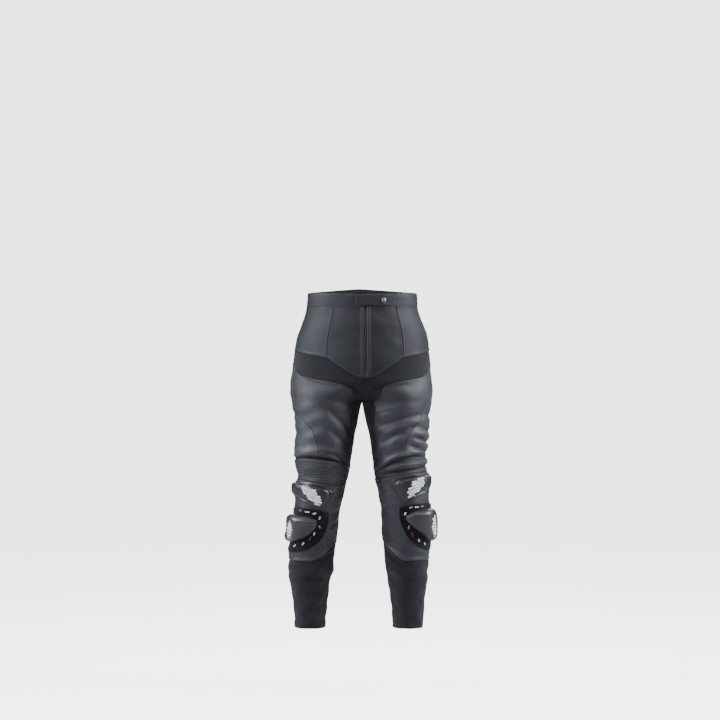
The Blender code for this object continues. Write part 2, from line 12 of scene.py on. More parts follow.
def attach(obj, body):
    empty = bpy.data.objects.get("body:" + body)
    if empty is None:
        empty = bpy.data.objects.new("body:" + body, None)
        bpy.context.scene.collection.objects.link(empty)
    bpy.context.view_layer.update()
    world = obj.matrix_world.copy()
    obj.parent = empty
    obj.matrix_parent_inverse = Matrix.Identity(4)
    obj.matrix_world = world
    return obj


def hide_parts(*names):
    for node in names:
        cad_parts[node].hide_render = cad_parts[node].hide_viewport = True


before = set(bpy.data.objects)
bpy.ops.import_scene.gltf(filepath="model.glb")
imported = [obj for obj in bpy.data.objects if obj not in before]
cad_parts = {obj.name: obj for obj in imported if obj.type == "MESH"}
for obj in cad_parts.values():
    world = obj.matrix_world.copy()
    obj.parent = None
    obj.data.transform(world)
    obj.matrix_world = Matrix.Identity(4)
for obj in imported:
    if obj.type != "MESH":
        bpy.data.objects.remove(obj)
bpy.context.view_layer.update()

rng = np.random.default_rng(41)

cuffHeight = -0.893
crotchHeight = -0.260
crotchBlend = 0.030
# Beside the middle plane the halves lap by over within reach of it, and the folds calm down.
centreLap = {"over": 0.0005, "reach": 0.0035, "calm": 0.03}
trunkTurn = {"slope": math.tan(math.radians(4.6)), "from": -0.300, "over": 0.100}
# A ring place may pass 0 or 1 by this much through rounding alone.
hair = 1e-6

# Trunk sections: height z, half width on the wearer's right and left, front and back of the
# depth, and how far the front and back halves pinch in towards the two legs.
trunkSections = (
    (0.040, 0.152, 0.152, -0.117, 0.100, 0.00, 0.00),
    (0.000, 0.155, 0.155, -0.118, 0.105, 0.00, 0.00),
    (-0.053, 0.171, 0.174, -0.122, 0.123, 0.00, 0.00),
    (-0.081, 0.181, 0.184, -0.122, 0.134, 0.00, 0.00),
    (-0.120, 0.188, 0.189, -0.122, 0.142, 0.00, 0.01),
    (-0.160, 0.193, 0.192, -0.120, 0.144, 0.00, 0.06),
    (-0.185, 0.196, 0.194, -0.117, 0.142, 0.00, 0.15),
    (-0.200, 0.199, 0.196, -0.115, 0.139, 0.12, 0.25),
    (-0.215, 0.201, 0.198, -0.113, 0.135, 0.35, 0.41),
    (-0.232, 0.201, 0.199, -0.111, 0.129, 0.62, 0.64),
    (-0.250, 0.199, 0.198, -0.107, 0.119, 0.89, 0.89),
    (-0.260, 0.198, 0.196, -0.105, 0.112, 1.00, 1.00),
)

# Leg sections: height z, outer and inner distance from the middle plane, front and back.
rightLeg = (
    (-0.260, 0.198, 0.000, -0.105, 0.112),
    (-0.286, 0.193, 0.006, -0.108, 0.104),
    (-0.328, 0.187, 0.014, -0.108, 0.095),
    (-0.370, 0.188, 0.023, -0.105, 0.087),
    (-0.412, 0.189, 0.029, -0.100, 0.078),
    (-0.440, 0.186, 0.033, -0.096, 0.071),
    (-0.468, 0.180, 0.038, -0.091, 0.064),
    (-0.500, 0.185, 0.047, -0.093, 0.057),
    (-0.538, 0.187, 0.055, -0.091, 0.052),
    (-0.566, 0.189, 0.062, -0.085, 0.052),
    (-0.594, 0.190, 0.066, -0.076, 0.054),
    (-0.622, 0.192, 0.068, -0.067, 0.061),
    (-0.650, 0.198, 0.071, -0.061, 0.067),
    (-0.678, 0.206, 0.076, -0.057, 0.069),
    (-0.706, 0.205, 0.079, -0.054, 0.067),
    (-0.734, 0.207, 0.079, -0.052, 0.062),
    (-0.753, 0.206, 0.087, -0.050, 0.058),
    (-0.800, 0.196, 0.094, -0.044, 0.050),
    (-0.893, 0.187, 0.103, -0.038, 0.042),
)
leftLeg = (
    (-0.260, 0.196, 0.000, -0.105, 0.112),
    (-0.286, 0.190, 0.004, -0.108, 0.104),
    (-0.328, 0.189, 0.013, -0.108, 0.095),
    (-0.370, 0.184, 0.023, -0.105, 0.087),
    (-0.412, 0.180, 0.029, -0.100, 0.078),
    (-0.454, 0.181, 0.033, -0.0945, 0.068),
    (-0.482, 0.185, 0.037, -0.0935, 0.061),
    (-0.510, 0.187, 0.044, -0.0925, 0.055),
    (-0.538, 0.188, 0.050, -0.090, 0.052),
    (-0.566, 0.189, 0.054, -0.084, 0.052),
    (-0.594, 0.189, 0.055, -0.075, 0.054),
    (-0.622, 0.190, 0.055, -0.066, 0.061),
    (-0.650, 0.191, 0.059, -0.061, 0.067),
    (-0.678, 0.190, 0.061, -0.057, 0.069),
    (-0.706, 0.187, 0.063, -0.054, 0.067),
    (-0.734, 0.184, 0.068, -0.052, 0.062),
    (-0.753, 0.185, 0.070, -0.050, 0.058),
    (-0.800, 0.178, 0.078, -0.044, 0.050),
    (-0.893, 0.170, 0.086, -0.038, 0.042),
)

# Lines across the body: where round the ring (0 centre front or inseam, 0.5 outer side,
# 1 centre back or inseam) and height z.
waistLine = ((0.0, 0.000), (0.5, 0.006), (1.0, 0.022))
yokeLine = (
    (0.00, -0.195), (0.03, -0.194), (0.06, -0.185), (0.10, -0.171), (0.15, -0.153),
    (0.185, -0.140), (0.30, -0.131), (0.45, -0.122), (0.55, -0.120), (0.75, -0.135), (1.0, -0.150),
)
legLine = (
    (0.00, -0.260), (0.03, -0.250), (0.06, -0.232), (0.10, -0.217), (0.15, -0.207),
    (0.20, -0.202), (0.33, -0.190), (0.42, -0.172), (0.52, -0.152), (0.62, -0.165),
    (0.75, -0.205), (0.88, -0.243), (1.00, -0.260),
)
rightLines = (
    waistLine, yokeLine, legLine,
    (
        (0.0, -0.452), (0.09, -0.442), (0.15, -0.427), (0.23, -0.418), (0.31, -0.414),
        (0.55, -0.420), (1.0, -0.430),
    ),
    (
        (0.0, -0.485), (0.15, -0.494), (0.22, -0.487), (0.34, -0.4795), (0.45, -0.4755),
        (0.55, -0.4755), (1.0, -0.480),
    ),
    ((0.0, -0.560), (0.25, -0.572), (0.55, -0.575), (1.0, -0.560)),
    ((0.0, -0.655), (0.10, -0.667), (0.17, -0.689), (0.256, -0.704), (0.55, -0.703), (1.0, -0.655)),
    ((0.0, cuffHeight), (1.0, cuffHeight)),
)
leftLines = (
    waistLine, yokeLine, legLine,
    (
        (0.0, -0.452), (0.10, -0.447), (0.14, -0.438), (0.185, -0.424), (0.23, -0.414),
        (0.30, -0.410), (0.55, -0.418), (1.0, -0.426),
    ),
    ((0.0, -0.474), (0.17, -0.470), (0.25, -0.461), (0.33, -0.457), (0.55, -0.455), (1.0, -0.466)),
    ((0.0, -0.545), (0.25, -0.556), (0.55, -0.560), (1.0, -0.545)),
    (
        (0.0, -0.650), (0.10, -0.665), (0.165, -0.686), (0.235, -0.702), (0.55, -0.703),
        (1.0, -0.650),
    ),
    ((0.0, cuffHeight), (1.0, cuffHeight)),
)

# Seams down the body: height z and where round the ring.
inseam = ((0.04, 0.0), (-0.27, 0.0), (-0.33, -0.03), (-0.40, -0.08), (-0.90, -0.08))
innerSeam = {
    "right": (
        (0.04, 0.07), (-0.20, 0.085), (-0.214, 0.076), (-0.232, 0.068), (-0.252, 0.080),
        (-0.268, 0.100), (-0.285, 0.112), (-0.311, 0.110), (-0.33, 0.100), (-0.386, 0.0),
        (-0.42, -0.03), (-0.90, -0.03),
    ),
    "left": (
        (0.04, 0.07), (-0.20, 0.098), (-0.226, 0.096), (-0.247, 0.106), (-0.262, 0.124),
        (-0.278, 0.138), (-0.311, 0.121), (-0.33, 0.112), (-0.386, 0.0), (-0.42, -0.03),
        (-0.90, -0.03),
    ),
}
dartSeam = (
    (0.04, 0.182), (-0.06, 0.188), (-0.14, 0.185), (-0.26, 0.22), (-0.40, 0.12), (-0.90, 0.12),
)
thighSeam = (
    (0.04, 0.36), (-0.12, 0.36), (-0.19, 0.44), (-0.26, 0.42), (-0.316, 0.36), (-0.344, 0.31),
    (-0.40, 0.273), (-0.90, 0.273),
)
sideSeam = ((0.04, 0.52), (-0.90, 0.53))
backSeam = ((0.04, 0.76), (-0.26, 0.78), (-0.42, 0.80), (-0.90, 0.80))
backInseam = ((0.04, 1.0), (-0.27, 1.0), (-0.33, 0.97), (-0.40, 0.92), (-0.90, 0.92))
seams = {
    side: (inseam, line, dartSeam, thighSeam, sideSeam, backSeam, backInseam)
    for side, line in innerSeam.items()
}

# Folds: ring place and height of both ends, how far the middle bows up, half width, depth
# (out is positive), and the lip raised beside it, above where positive.
rightFolds = (
    (0.14, -0.204, 0.02, -0.232, 0.003, 0.008, -0.0030, 0.0),
    (0.305, -0.210, 0.115, -0.218, 0.000, 0.010, -0.0028, 0.3),
    (0.275, -0.267, 0.09, -0.343, 0.000, 0.010, -0.0038, -0.5),
    (0.24, -0.331, 0.10, -0.381, 0.000, 0.009, -0.0034, -0.5),
    (0.40, -0.295, 0.54, -0.294, 0.000, 0.007, -0.0040, -0.3),
    (0.41, -0.349, 0.55, -0.348, 0.000, 0.009, -0.0018, 0.3),
    (0.47, -0.407, 0.20, -0.396, 0.003, 0.010, 0.0036, 0.0),
    (0.52, -0.422, 0.13, -0.429, 0.012, 0.005, -0.0050, 0.0),
    (0.23, -0.401, 0.09, -0.435, 0.006, 0.005, -0.0038, 0.4),
    (0.56, -0.466, 0.43, -0.465, 0.000, 0.007, -0.0024, 0.0),
    (0.19, -0.576, 0.04, -0.566, 0.000, 0.009, -0.0020, 0.6),
    (0.20, -0.701, 0.04, -0.681, 0.000, 0.008, -0.0028, 0.7),
    (0.01, -0.728, 0.235, -0.730, 0.000, 0.010, 0.0030, 0.0),
    (0.375, -0.738, 0.56, -0.738, 0.000, 0.008, -0.0026, 0.4),
    (0.54, -0.238, 0.74, -0.262, -0.004, 0.010, -0.0030, -0.5),
    (0.60, -0.300, 0.86, -0.276, -0.004, 0.010, -0.0030, -0.5),
    (0.56, -0.372, 0.80, -0.350, 0.004, 0.011, -0.0024, -0.5),
    (0.60, -0.446, 0.90, -0.440, -0.006, 0.008, -0.0044, -0.6),
    (0.64, -0.482, 0.86, -0.476, 0.006, 0.008, -0.0040, -0.6),
    (0.62, -0.520, 0.84, -0.526, 0.004, 0.009, -0.0034, -0.5),
    (0.60, -0.064, 0.90, -0.078, -0.006, 0.010, -0.0024, -0.4),
    (0.58, -0.640, 0.82, -0.655, 0.000, 0.014, -0.0022, 0.4),
    (0.60, -0.735, 0.88, -0.728, 0.004, 0.010, -0.0028, 0.5),
)
leftFolds = (
    (0.195, -0.191, 0.02, -0.232, -0.002, 0.008, -0.0030, 0.0),
    (0.105, -0.219, 0.285, -0.213, 0.000, 0.010, -0.0032, 0.3),
    (0.16, -0.277, 0.255, -0.260, 0.000, 0.009, -0.0020, 0.3),
    (0.16, -0.329, 0.41, -0.293, 0.003, 0.009, -0.0040, -0.5),
    (0.16, -0.374, 0.39, -0.323, 0.009, 0.008, -0.0040, -0.6),
    (0.42, -0.298, 0.56, -0.304, 0.000, 0.008, -0.0030, 0.3),
    (0.375, -0.335, 0.55, -0.346, 0.000, 0.006, -0.0030, 0.0),
    (0.355, -0.346, 0.55, -0.368, 0.002, 0.007, 0.0040, 0.0),
    (0.33, -0.358, 0.55, -0.382, 0.002, 0.006, -0.0040, 0.0),
    (0.345, -0.370, 0.55, -0.397, 0.002, 0.007, 0.0044, 0.0),
    (0.32, -0.383, 0.55, -0.411, 0.002, 0.006, -0.0042, 0.0),
    (0.13, -0.437, 0.47, -0.404, 0.019, 0.008, 0.0036, 0.0),
    (0.12, -0.448, 0.52, -0.416, 0.020, 0.005, -0.0054, 0.0),
    (0.145, -0.449, 0.52, -0.430, 0.008, 0.006, 0.0034, 0.0),
    (0.13, -0.460, 0.52, -0.440, 0.002, 0.0045, -0.0052, 0.0),
    (0.135, -0.465, 0.03, -0.498, 0.000, 0.007, -0.0024, 0.5),
    (0.22, -0.710, 0.03, -0.663, -0.004, 0.008, -0.0028, 0.6),
    (0.015, -0.728, 0.22, -0.734, 0.000, 0.012, 0.0022, 0.0),
    (0.395, -0.734, 0.54, -0.742, 0.000, 0.008, -0.0020, 0.4),
    (0.54, -0.244, 0.76, -0.258, -0.004, 0.010, -0.0030, -0.5),
    (0.58, -0.284, 0.84, -0.298, 0.004, 0.010, -0.0028, -0.5),
    (0.62, -0.346, 0.86, -0.368, -0.004, 0.011, -0.0024, -0.5),
    (0.60, -0.436, 0.88, -0.448, -0.006, 0.008, -0.0044, -0.6),
    (0.63, -0.470, 0.90, -0.478, 0.006, 0.008, -0.0040, -0.6),
    (0.61, -0.512, 0.82, -0.516, -0.004, 0.009, -0.0034, -0.5),
    (0.62, -0.058, 0.88, -0.066, -0.006, 0.010, -0.0022, -0.4),
    (0.60, -0.656, 0.84, -0.646, 0.000, 0.014, -0.0022, 0.4),
    (0.58, -0.730, 0.86, -0.736, 0.004, 0.010, -0.0028, 0.5),
)
foldForm = {"ring": 0.45, "end": 1.05, "lipAway": 2, "lipWidth": 1.4}

# Outlines of the pieces laid on the skin: ring place, height of the upper edge, of the lower.
kneeCupOutlines = {
    "right": (
        (0.145, -0.499, -0.527), (0.22, -0.491, -0.556), (0.34, -0.483, -0.538),
        (0.55, -0.480, -0.518),
    ),
    "left": (
        (0.170, -0.475, -0.518), (0.25, -0.465, -0.538), (0.33, -0.461, -0.523),
        (0.52, -0.460, -0.498),
    ),
}
loopPatchOutlines = {
    "right": (
        (0.155, -0.558, -0.600), (0.20, -0.560, -0.644), (0.30, -0.556, -0.674),
        (0.42, -0.552, -0.680), (0.525, -0.553, -0.672),
    ),
    "left": (
        (0.205, -0.543, -0.590), (0.256, -0.544, -0.637), (0.334, -0.542, -0.663),
        (0.43, -0.541, -0.675), (0.525, -0.542, -0.668),
    ),
}
sliderOutlines = {
    "right": (
        (0.242, -0.583, -0.606), (0.304, -0.577, -0.636), (0.36, -0.574, -0.647),
        (0.42, -0.573, -0.655), (0.54, -0.576, -0.656),
    ),
    "left": (
        (0.248, -0.572, -0.586), (0.316, -0.560, -0.614), (0.39, -0.557, -0.642),
        (0.43, -0.556, -0.650), (0.54, -0.560, -0.652),
    ),
}
tabOutline = ((-0.055, 0.034, 0.003), (0.155, 0.034, 0.003))

snapPlace = (0.105, 0.0185)
sideSign = {"right": -1, "left": 1}
legs = {"right": rightLeg, "left": leftLeg}
ringLines = {"right": rightLines, "left": leftLines}
folds = {"right": rightFolds, "left": leftFolds}
allSeams = {side: seams[side] + (tuple((z, s + 1) for z, s in innerSeam[side]),) for side in seams}

# Slow uneven swell of worn leather: whole waves round the ring, cycles per metre down, way, phase.
swellForm = {
    "waves": 16, "round": (1, 9), "down": (5, 26), "phase": (0, 6.28),
    "height": 0.00022, "least": 0.45, "more": 0.55, "from": -0.18, "over": 0.12,
}
swell = {
    side: [
        (rng.integers(*swellForm["round"]), rng.uniform(*swellForm["down"]),
         rng.choice((-1, 1)), rng.uniform(*swellForm["phase"]))
        for _ in range(swellForm["waves"])
    ]
    for side in sideSign
}

# Small creases that are too fine for the solids, listed in the folds' own columns.
fineFolds = {
    "right": (
        (0.33, -0.196, 0.22, -0.214, 0.000, 0.0050, -0.0012, 0.5),
        (0.50, -0.420, 0.15, -0.428, 0.011, 0.0034, -0.0020, 0.5),
        (0.24, -0.262, 0.10, -0.330, 0.000, 0.0100, 0.0012, 0.0),
        (0.30, -0.300, 0.16, -0.386, 0.000, 0.0110, 0.0012, 0.0),
        (0.44, -0.400, 0.22, -0.392, 0.002, 0.0080, 0.0014, 0.0),
        (0.12, -0.560, 0.02, -0.585, 0.000, 0.0060, 0.0018, 0.0),
        (0.17, -0.622, 0.03, -0.600, -0.003, 0.0060, 0.0018, 0.0),
        (0.22, -0.690, 0.05, -0.668, -0.003, 0.0050, 0.0020, 0.0),
        (0.12, -0.236, 0.03, -0.262, 0.000, 0.0050, -0.0014, 0.4),
        (0.25, -0.244, 0.12, -0.272, -0.003, 0.0060, -0.0011, -0.5),
        (0.22, -0.300, 0.09, -0.352, 0.004, 0.0050, -0.0014, 0.5),
        (0.34, -0.392, 0.20, -0.402, 0.003, 0.0040, -0.0012, 0.4),
        (0.49, -0.404, 0.36, -0.402, 0.002, 0.0045, -0.0014, 0.4),
        (0.50, -0.318, 0.40, -0.322, 0.000, 0.0050, -0.0012, 0.4),
        (0.54, -0.378, 0.43, -0.384, 0.000, 0.0050, -0.0012, 0.4),
        (0.13, -0.452, 0.05, -0.478, 0.002, 0.0040, -0.0013, 0.4),
        (0.12, -0.506, 0.03, -0.500, 0.002, 0.0045, -0.0012, 0.4),
        (0.13, -0.548, 0.00, -0.531, -0.003, 0.0050, -0.0015, 0.4),
        (0.16, -0.606, 0.05, -0.590, -0.003, 0.0050, -0.0013, 0.4),
        (0.17, -0.648, 0.06, -0.622, -0.004, 0.0060, -0.0012, 0.4),
        (0.30, -0.690, 0.18, -0.684, 0.000, 0.0050, -0.0011, 0.4),
        (0.52, -0.690, 0.36, -0.694, -0.002, 0.0055, -0.0014, 0.4),
        (0.44, -0.716, 0.26, -0.722, 0.000, 0.0060, -0.0012, 0.4),
        (0.10, -0.705, 0.00, -0.700, 0.000, 0.0050, -0.0014, 0.4),
        (0.12, -0.752, 0.40, -0.762, 0.000, 0.0070, -0.0012, 0.4),
        (0.70, -0.458, 0.97, -0.464, -0.003, 0.0045, -0.0020, 0.4),
        (0.66, -0.498, 0.92, -0.504, 0.003, 0.0045, -0.0018, 0.4),
        (0.60, -0.545, 0.78, -0.556, 0.003, 0.0060, -0.0014, 0.4),
        (0.62, -0.412, 0.84, -0.402, -0.003, 0.0050, -0.0014, 0.4),
        (0.66, -0.318, 0.90, -0.312, -0.002, 0.0060, -0.0014, 0.4),
        (0.70, -0.120, 0.94, -0.138, -0.003, 0.0070, -0.0010, 0.4),
        (0.64, -0.686, 0.86, -0.694, 0.002, 0.0060, -0.0013, 0.4),
        (0.55, -0.790, 0.80, -0.782, 0.003, 0.0070, -0.0012, 0.4),
    ),
    "left": (
        (0.22, -0.204, 0.35, -0.190, 0.000, 0.0050, -0.0012, 0.5),
        (0.35, -0.333, 0.46, -0.338, 0.001, 0.0050, -0.0020, 0.0),
        (0.355, -0.346, 0.47, -0.360, 0.001, 0.0050, 0.0024, 0.0),
        (0.34, -0.358, 0.46, -0.374, 0.001, 0.0045, -0.0026, 0.0),
        (0.345, -0.370, 0.46, -0.389, 0.001, 0.0050, 0.0026, 0.0),
        (0.32, -0.384, 0.45, -0.403, 0.001, 0.0045, -0.0028, 0.0),
        (0.14, -0.447, 0.45, -0.418, 0.019, 0.0034, -0.0024, 0.0),
        (0.15, -0.460, 0.46, -0.441, 0.003, 0.0032, -0.0022, 0.0),
        (0.17, -0.345, 0.33, -0.306, 0.004, 0.0090, 0.0012, 0.0),
        (0.16, -0.395, 0.30, -0.352, 0.006, 0.0090, 0.0012, 0.0),
        (0.15, -0.600, 0.04, -0.580, -0.002, 0.0060, 0.0018, 0.0),
        (0.22, -0.685, 0.06, -0.655, -0.004, 0.0060, 0.0020, 0.0),
        (0.03, -0.258, 0.10, -0.238, 0.000, 0.0050, -0.0013, 0.4),
        (0.13, -0.300, 0.24, -0.283, 0.002, 0.0055, -0.0012, 0.5),
        (0.14, -0.352, 0.31, -0.318, 0.006, 0.0050, -0.0014, 0.5),
        (0.13, -0.402, 0.28, -0.368, 0.006, 0.0055, -0.0013, 0.5),
        (0.20, -0.432, 0.42, -0.419, 0.004, 0.0035, -0.0016, 0.4),
        (0.30, -0.440, 0.51, -0.432, 0.001, 0.0030, -0.0014, 0.4),
        (0.44, -0.322, 0.55, -0.326, 0.000, 0.0050, -0.0012, 0.4),
        (0.11, -0.462, 0.02, -0.476, 0.000, 0.0040, -0.0013, 0.4),
        (0.15, -0.510, 0.03, -0.520, 0.002, 0.0045, -0.0012, 0.4),
        (0.17, -0.556, 0.03, -0.548, -0.003, 0.0050, -0.0014, 0.4),
        (0.19, -0.604, 0.07, -0.588, -0.004, 0.0055, -0.0012, 0.4),
        (0.20, -0.655, 0.08, -0.630, -0.004, 0.0060, -0.0012, 0.4),
        (0.44, -0.690, 0.28, -0.684, 0.000, 0.0050, -0.0012, 0.4),
        (0.10, -0.706, 0.00, -0.700, 0.000, 0.0050, -0.0013, 0.4),
        (0.26, -0.722, 0.46, -0.716, 0.000, 0.0060, -0.0012, 0.4),
        (0.14, -0.758, 0.42, -0.765, 0.000, 0.0070, -0.0012, 0.4),
        (0.68, -0.454, 0.96, -0.462, -0.003, 0.0045, -0.0020, 0.4),
        (0.64, -0.492, 0.90, -0.500, 0.003, 0.0045, -0.0018, 0.4),
        (0.62, -0.540, 0.80, -0.548, 0.003, 0.0060, -0.0014, 0.4),
        (0.60, -0.398, 0.82, -0.412, -0.003, 0.0050, -0.0014, 0.4),
        (0.64, -0.306, 0.88, -0.324, -0.002, 0.0060, -0.0014, 0.4),
        (0.72, -0.112, 0.92, -0.126, -0.003, 0.0070, -0.0010, 0.4),
        (0.66, -0.694, 0.88, -0.688, 0.002, 0.0060, -0.0013, 0.4),
        (0.56, -0.784, 0.82, -0.792, 0.003, 0.0070, -0.0012, 0.4),
    ),
}


# Sewn lines beside the knee: ring place and height along each.
kneeSeams = {
    "right": (
        (0.118, -0.4345), (0.088, -0.446), (0.078, -0.470), (0.080, -0.500), (0.098, -0.529),
        (0.128, -0.549),
    ),
    "left": ((0.150, -0.432), (0.116, -0.446), (0.106, -0.462), (0.118, -0.485), (0.146, -0.500)),
}
kneeSeamForm = {
    "ring": 0.40, "groove": -0.0018, "width": 0.0013, "bead": 0.0009,
    "rise": 0.0014, "until": 0.0040, "fall": 0.0024, "stitch": 0.0023,
}


def smoothCurve(x, table, column=1):
    # Monotone cubic through the table: Hermite steps whose slopes are harmonic means.
    xs = np.array([row[0] for row in table])
    ys = np.array([row[column] for row in table])
    if xs[0] > xs[-1]:
        xs, ys = xs[::-1], ys[::-1]
    steps = np.diff(ys) / np.diff(xs)
    slopes = np.zeros(len(xs))
    same = steps[1:] * steps[:-1] > 0
    slopes[1:-1][same] = 2 * steps[1:][same] * steps[:-1][same] / (steps[1:] + steps[:-1])[same]
    slopes[0], slopes[-1] = steps[0], steps[-1]
    x = np.clip(x, xs[0], xs[-1])
    i = np.clip(np.searchsorted(xs, x, side="right") - 1, 0, len(xs) - 2)
    h = xs[i + 1] - xs[i]
    t = (x - xs[i]) / h
    low = (1 + 2 * t) * (1 - t) ** 2 * ys[i] + t * (1 - t) ** 2 * h * slopes[i]
    high = t * t * (3 - 2 * t) * ys[i + 1] + t * t * (t - 1) * h * slopes[i + 1]
    return low + high


def ease(x):
    # Smooth step from 0 to 1: 3x squared less 2x cubed.
    x = np.clip(x, 0, 1)
    return x * x * (3 - 2 * x)


def foldHeight(table, s, z):
    # Sum of bells across bowed lines, each with a softer lip of the other sign beside it.
    total = np.zeros(np.broadcast(s, z).shape)
    for s0, z0, s1, z1, bow, width, depth, lip in table:
        run, rise = (s1 - s0) * foldForm["ring"], z1 - z0
        length = math.hypot(run, rise)
        along = (np.mod(s - s0 + 0.5, 1.0) - 0.5) * foldForm["ring"]
        up = z - z0
        share = (along * run + up * rise) / length**2
        span = np.clip(share, 0, 1)
        across = (up * run - along * rise) / length * math.copysign(1, run)
        across = (across - 4 * bow * span * (1 - span)) / width
        beside = (across - math.copysign(foldForm["lipAway"], lip)) / foldForm["lipWidth"]
        shape = np.exp(-across**2) - abs(lip) * np.exp(-beside**2)
        total = total + depth * shape * np.exp(-(((2 * share - 1) / foldForm["end"]) ** 4))
    return total


def foldsAt(side, s, z):
    # The solids' folds and the fine creases together.
    return foldHeight(folds[side], s, z) + foldHeight(fineFolds[side], s, z)


def swellAt(side, s, z):
    # Sum of seeded sines, calmer on the trunk than on the legs.
    total = np.zeros(np.broadcast(s, z).shape)
    for round_, down, way, start in swell[side]:
        total = total + np.sin(2 * math.pi * (way * round_ * s + down * z) + start)
    lower = ease((swellForm["from"] - z) / swellForm["over"])
    return total * swellForm["height"] * (swellForm["least"] + swellForm["more"] * lower)


def sectionAt(side, s, z, high):
    # The trunk's or one leg's bare ring: half ellipse in front and behind, pinched at the middle
    # plane, as place and normal in its own plane. Beyond the table its last row goes on.
    front = s < 0.5
    table = trunkSections if high else legs[side]
    width = smoothCurve(z, table, 1 if side == "right" or not high else 2)
    near, far = smoothCurve(z, table, 3), smoothCurve(z, table, 4)
    if high:
        pinch = np.where(front, smoothCurve(z, table, 5), smoothCurve(z, table, 6)).clip(0, 1)
        radius = width / (1 + pinch)
        centre, reach = width - radius, math.pi - np.arccos(pinch)
    else:
        inner = smoothCurve(z, table, 2)
        radius, centre, reach = (width - inner) / 2, (width + inner) / 2, math.pi
    angle = np.where(front, 1 - 2 * s, 2 * s - 1) * reach
    depth = (far - near) / 2
    facing = np.where(front, -1.0, 1.0)
    place = (centre + radius * np.cos(angle), (near + far) / 2 + facing * depth * np.sin(angle))
    return *place, np.cos(angle) / radius, facing * np.sin(angle) / depth


def skin(side, s, z, raised=0.0):
    # Trunk and leg rings mixed over a short height at the crotch; the folds move the place along
    # the ring's normal, and the trunk turns a little about the vertical.
    s, z = np.broadcast_arrays(np.asarray(s, float), np.asarray(z, float))
    turned = np.where(s > 1 + hair, s - 1, np.where(s < -hair, s + 1, np.clip(s, 0, 1)))
    share = ease((z - crotchHeight) / crotchBlend + 0.5)
    upper, lower = sectionAt(side, turned, z, True), sectionAt(side, turned, z, False)
    x, y, nx, ny = (a * share + b * (1 - share) for a, b in zip(upper, lower))
    size = np.hypot(nx, ny)
    lively = foldsAt(side, turned, z) + swellAt(side, turned, z)
    out = raised + lively * ease(x / centreLap["calm"])
    # Beside the middle plane nothing draws the halves apart, and they lap a little.
    apart = ease(x / centreLap["reach"])
    x = x + out * nx / size * apart - centreLap["over"] * (1 - apart)
    x = np.maximum(x, -centreLap["over"])
    y = y + out * ny / size
    turn = trunkTurn["slope"] * ease((z - trunkTurn["from"]) / trunkTurn["over"])
    return np.stack([sideSign[side] * x - turn * y, y, z + 0 * x], axis=-1)


def unit(vectors):
    return vectors / np.maximum(np.linalg.norm(vectors, axis=-1, keepdims=True), 1e-12)


def skinNormal(side, s, z):
    # Cross product of small steps along the ring and down the body.
    stepS, stepZ = 0.004, 0.002
    low = z <= crotchHeight
    lap = np.where(s > 1 + hair, 1.0, 0.0)
    before, after = (
        np.where(low, s + step, np.clip(s + step, lap, lap + 1)) for step in (-stepS, stepS)
    )
    above = np.where(low, np.minimum(z + stepZ, crotchHeight - hair), z + stepZ)
    below = np.where(low, z - stepZ, np.maximum(z - stepZ, crotchHeight + hair))
    roundWay = skin(side, after, z) - skin(side, before, z)
    downWay = skin(side, s, below) - skin(side, s, above)
    return unit(np.cross(roundWay, downWay) * -sideSign[side])


def skinAcross(side, s, z):
    # The skin where a piece passes the centre front onto the other side of the trunk.
    other = "left" if side == "right" else "right"
    past = ((s < 0) & (z > crotchHeight))[..., None]
    place = np.where(past, skin(other, np.abs(s), z), skin(side, s, z))
    normal = np.where(past, skinNormal(other, np.abs(s), z), skinNormal(side, s, z))
    return place, normal


def seamPlaces(side, rowAt, columnAt):
    # Ring place and height where row lines cross seams, both mixed between their neighbours
    # and found by repeating. Past the last seam but one the lines are read on the next lap.
    lines = ringLines[side]
    block = np.clip(np.floor(rowAt).astype(int), 0, len(lines) - 2)
    strip = np.clip(np.floor(columnAt).astype(int), 0, len(allSeams[side]) - 2)
    down = (rowAt - block)[:, None]
    across = (columnAt - strip)[None, :]
    past = ease((columnAt - 6) * 3)[None, :]
    s = np.zeros((len(rowAt), len(columnAt)))
    for _ in range(16):
        near, beyond = np.clip(s, 0, 1), np.clip(s - 1, 0, 1)
        levels = np.array([
            smoothCurve(near, line) * (1 - past) + smoothCurve(beyond, line) * past
            for line in lines
        ])
        z = (1 - down) * levels[block, np.arange(len(rowAt))]
        z = z + down * levels[block + 1, np.arange(len(rowAt))]
        places = np.array([smoothCurve(z, line) for line in allSeams[side]])
        s = (1 - across) * places[strip, :, np.arange(len(columnAt))].T
        s = s + across * places[strip + 1, :, np.arange(len(columnAt))].T
    return s, z


def arcs(points, axis):
    # Length along the grid from its first edge and from its last.
    step = np.linalg.norm(np.diff(points, axis=axis), axis=-1)
    first = np.zeros_like(np.take(step, [0], axis=axis))
    near = np.concatenate([first, np.cumsum(step, axis=axis)], axis=axis)
    return near, np.take(near, [-1], axis=axis) - near


# Distances from a seam at which the grid has its first lines.
edgeSteps = np.array([0.0, 0.0006, 0.0013, 0.0021, 0.0032, 0.0046, 0.0062, 0.0078])


def spacing(length, cell):
    # Close steps beside both edges, where the seam rolls over, and even cells between.
    if length < 4 * edgeSteps[-1]:
        return np.linspace(0, length, max(int(length / cell), 6) + 1)
    middle = np.linspace(edgeSteps[-1], length - edgeSteps[-1], int(length / cell) + 2)
    return np.concatenate([edgeSteps[:-1], middle, (length - edgeSteps[:-1])[::-1]])


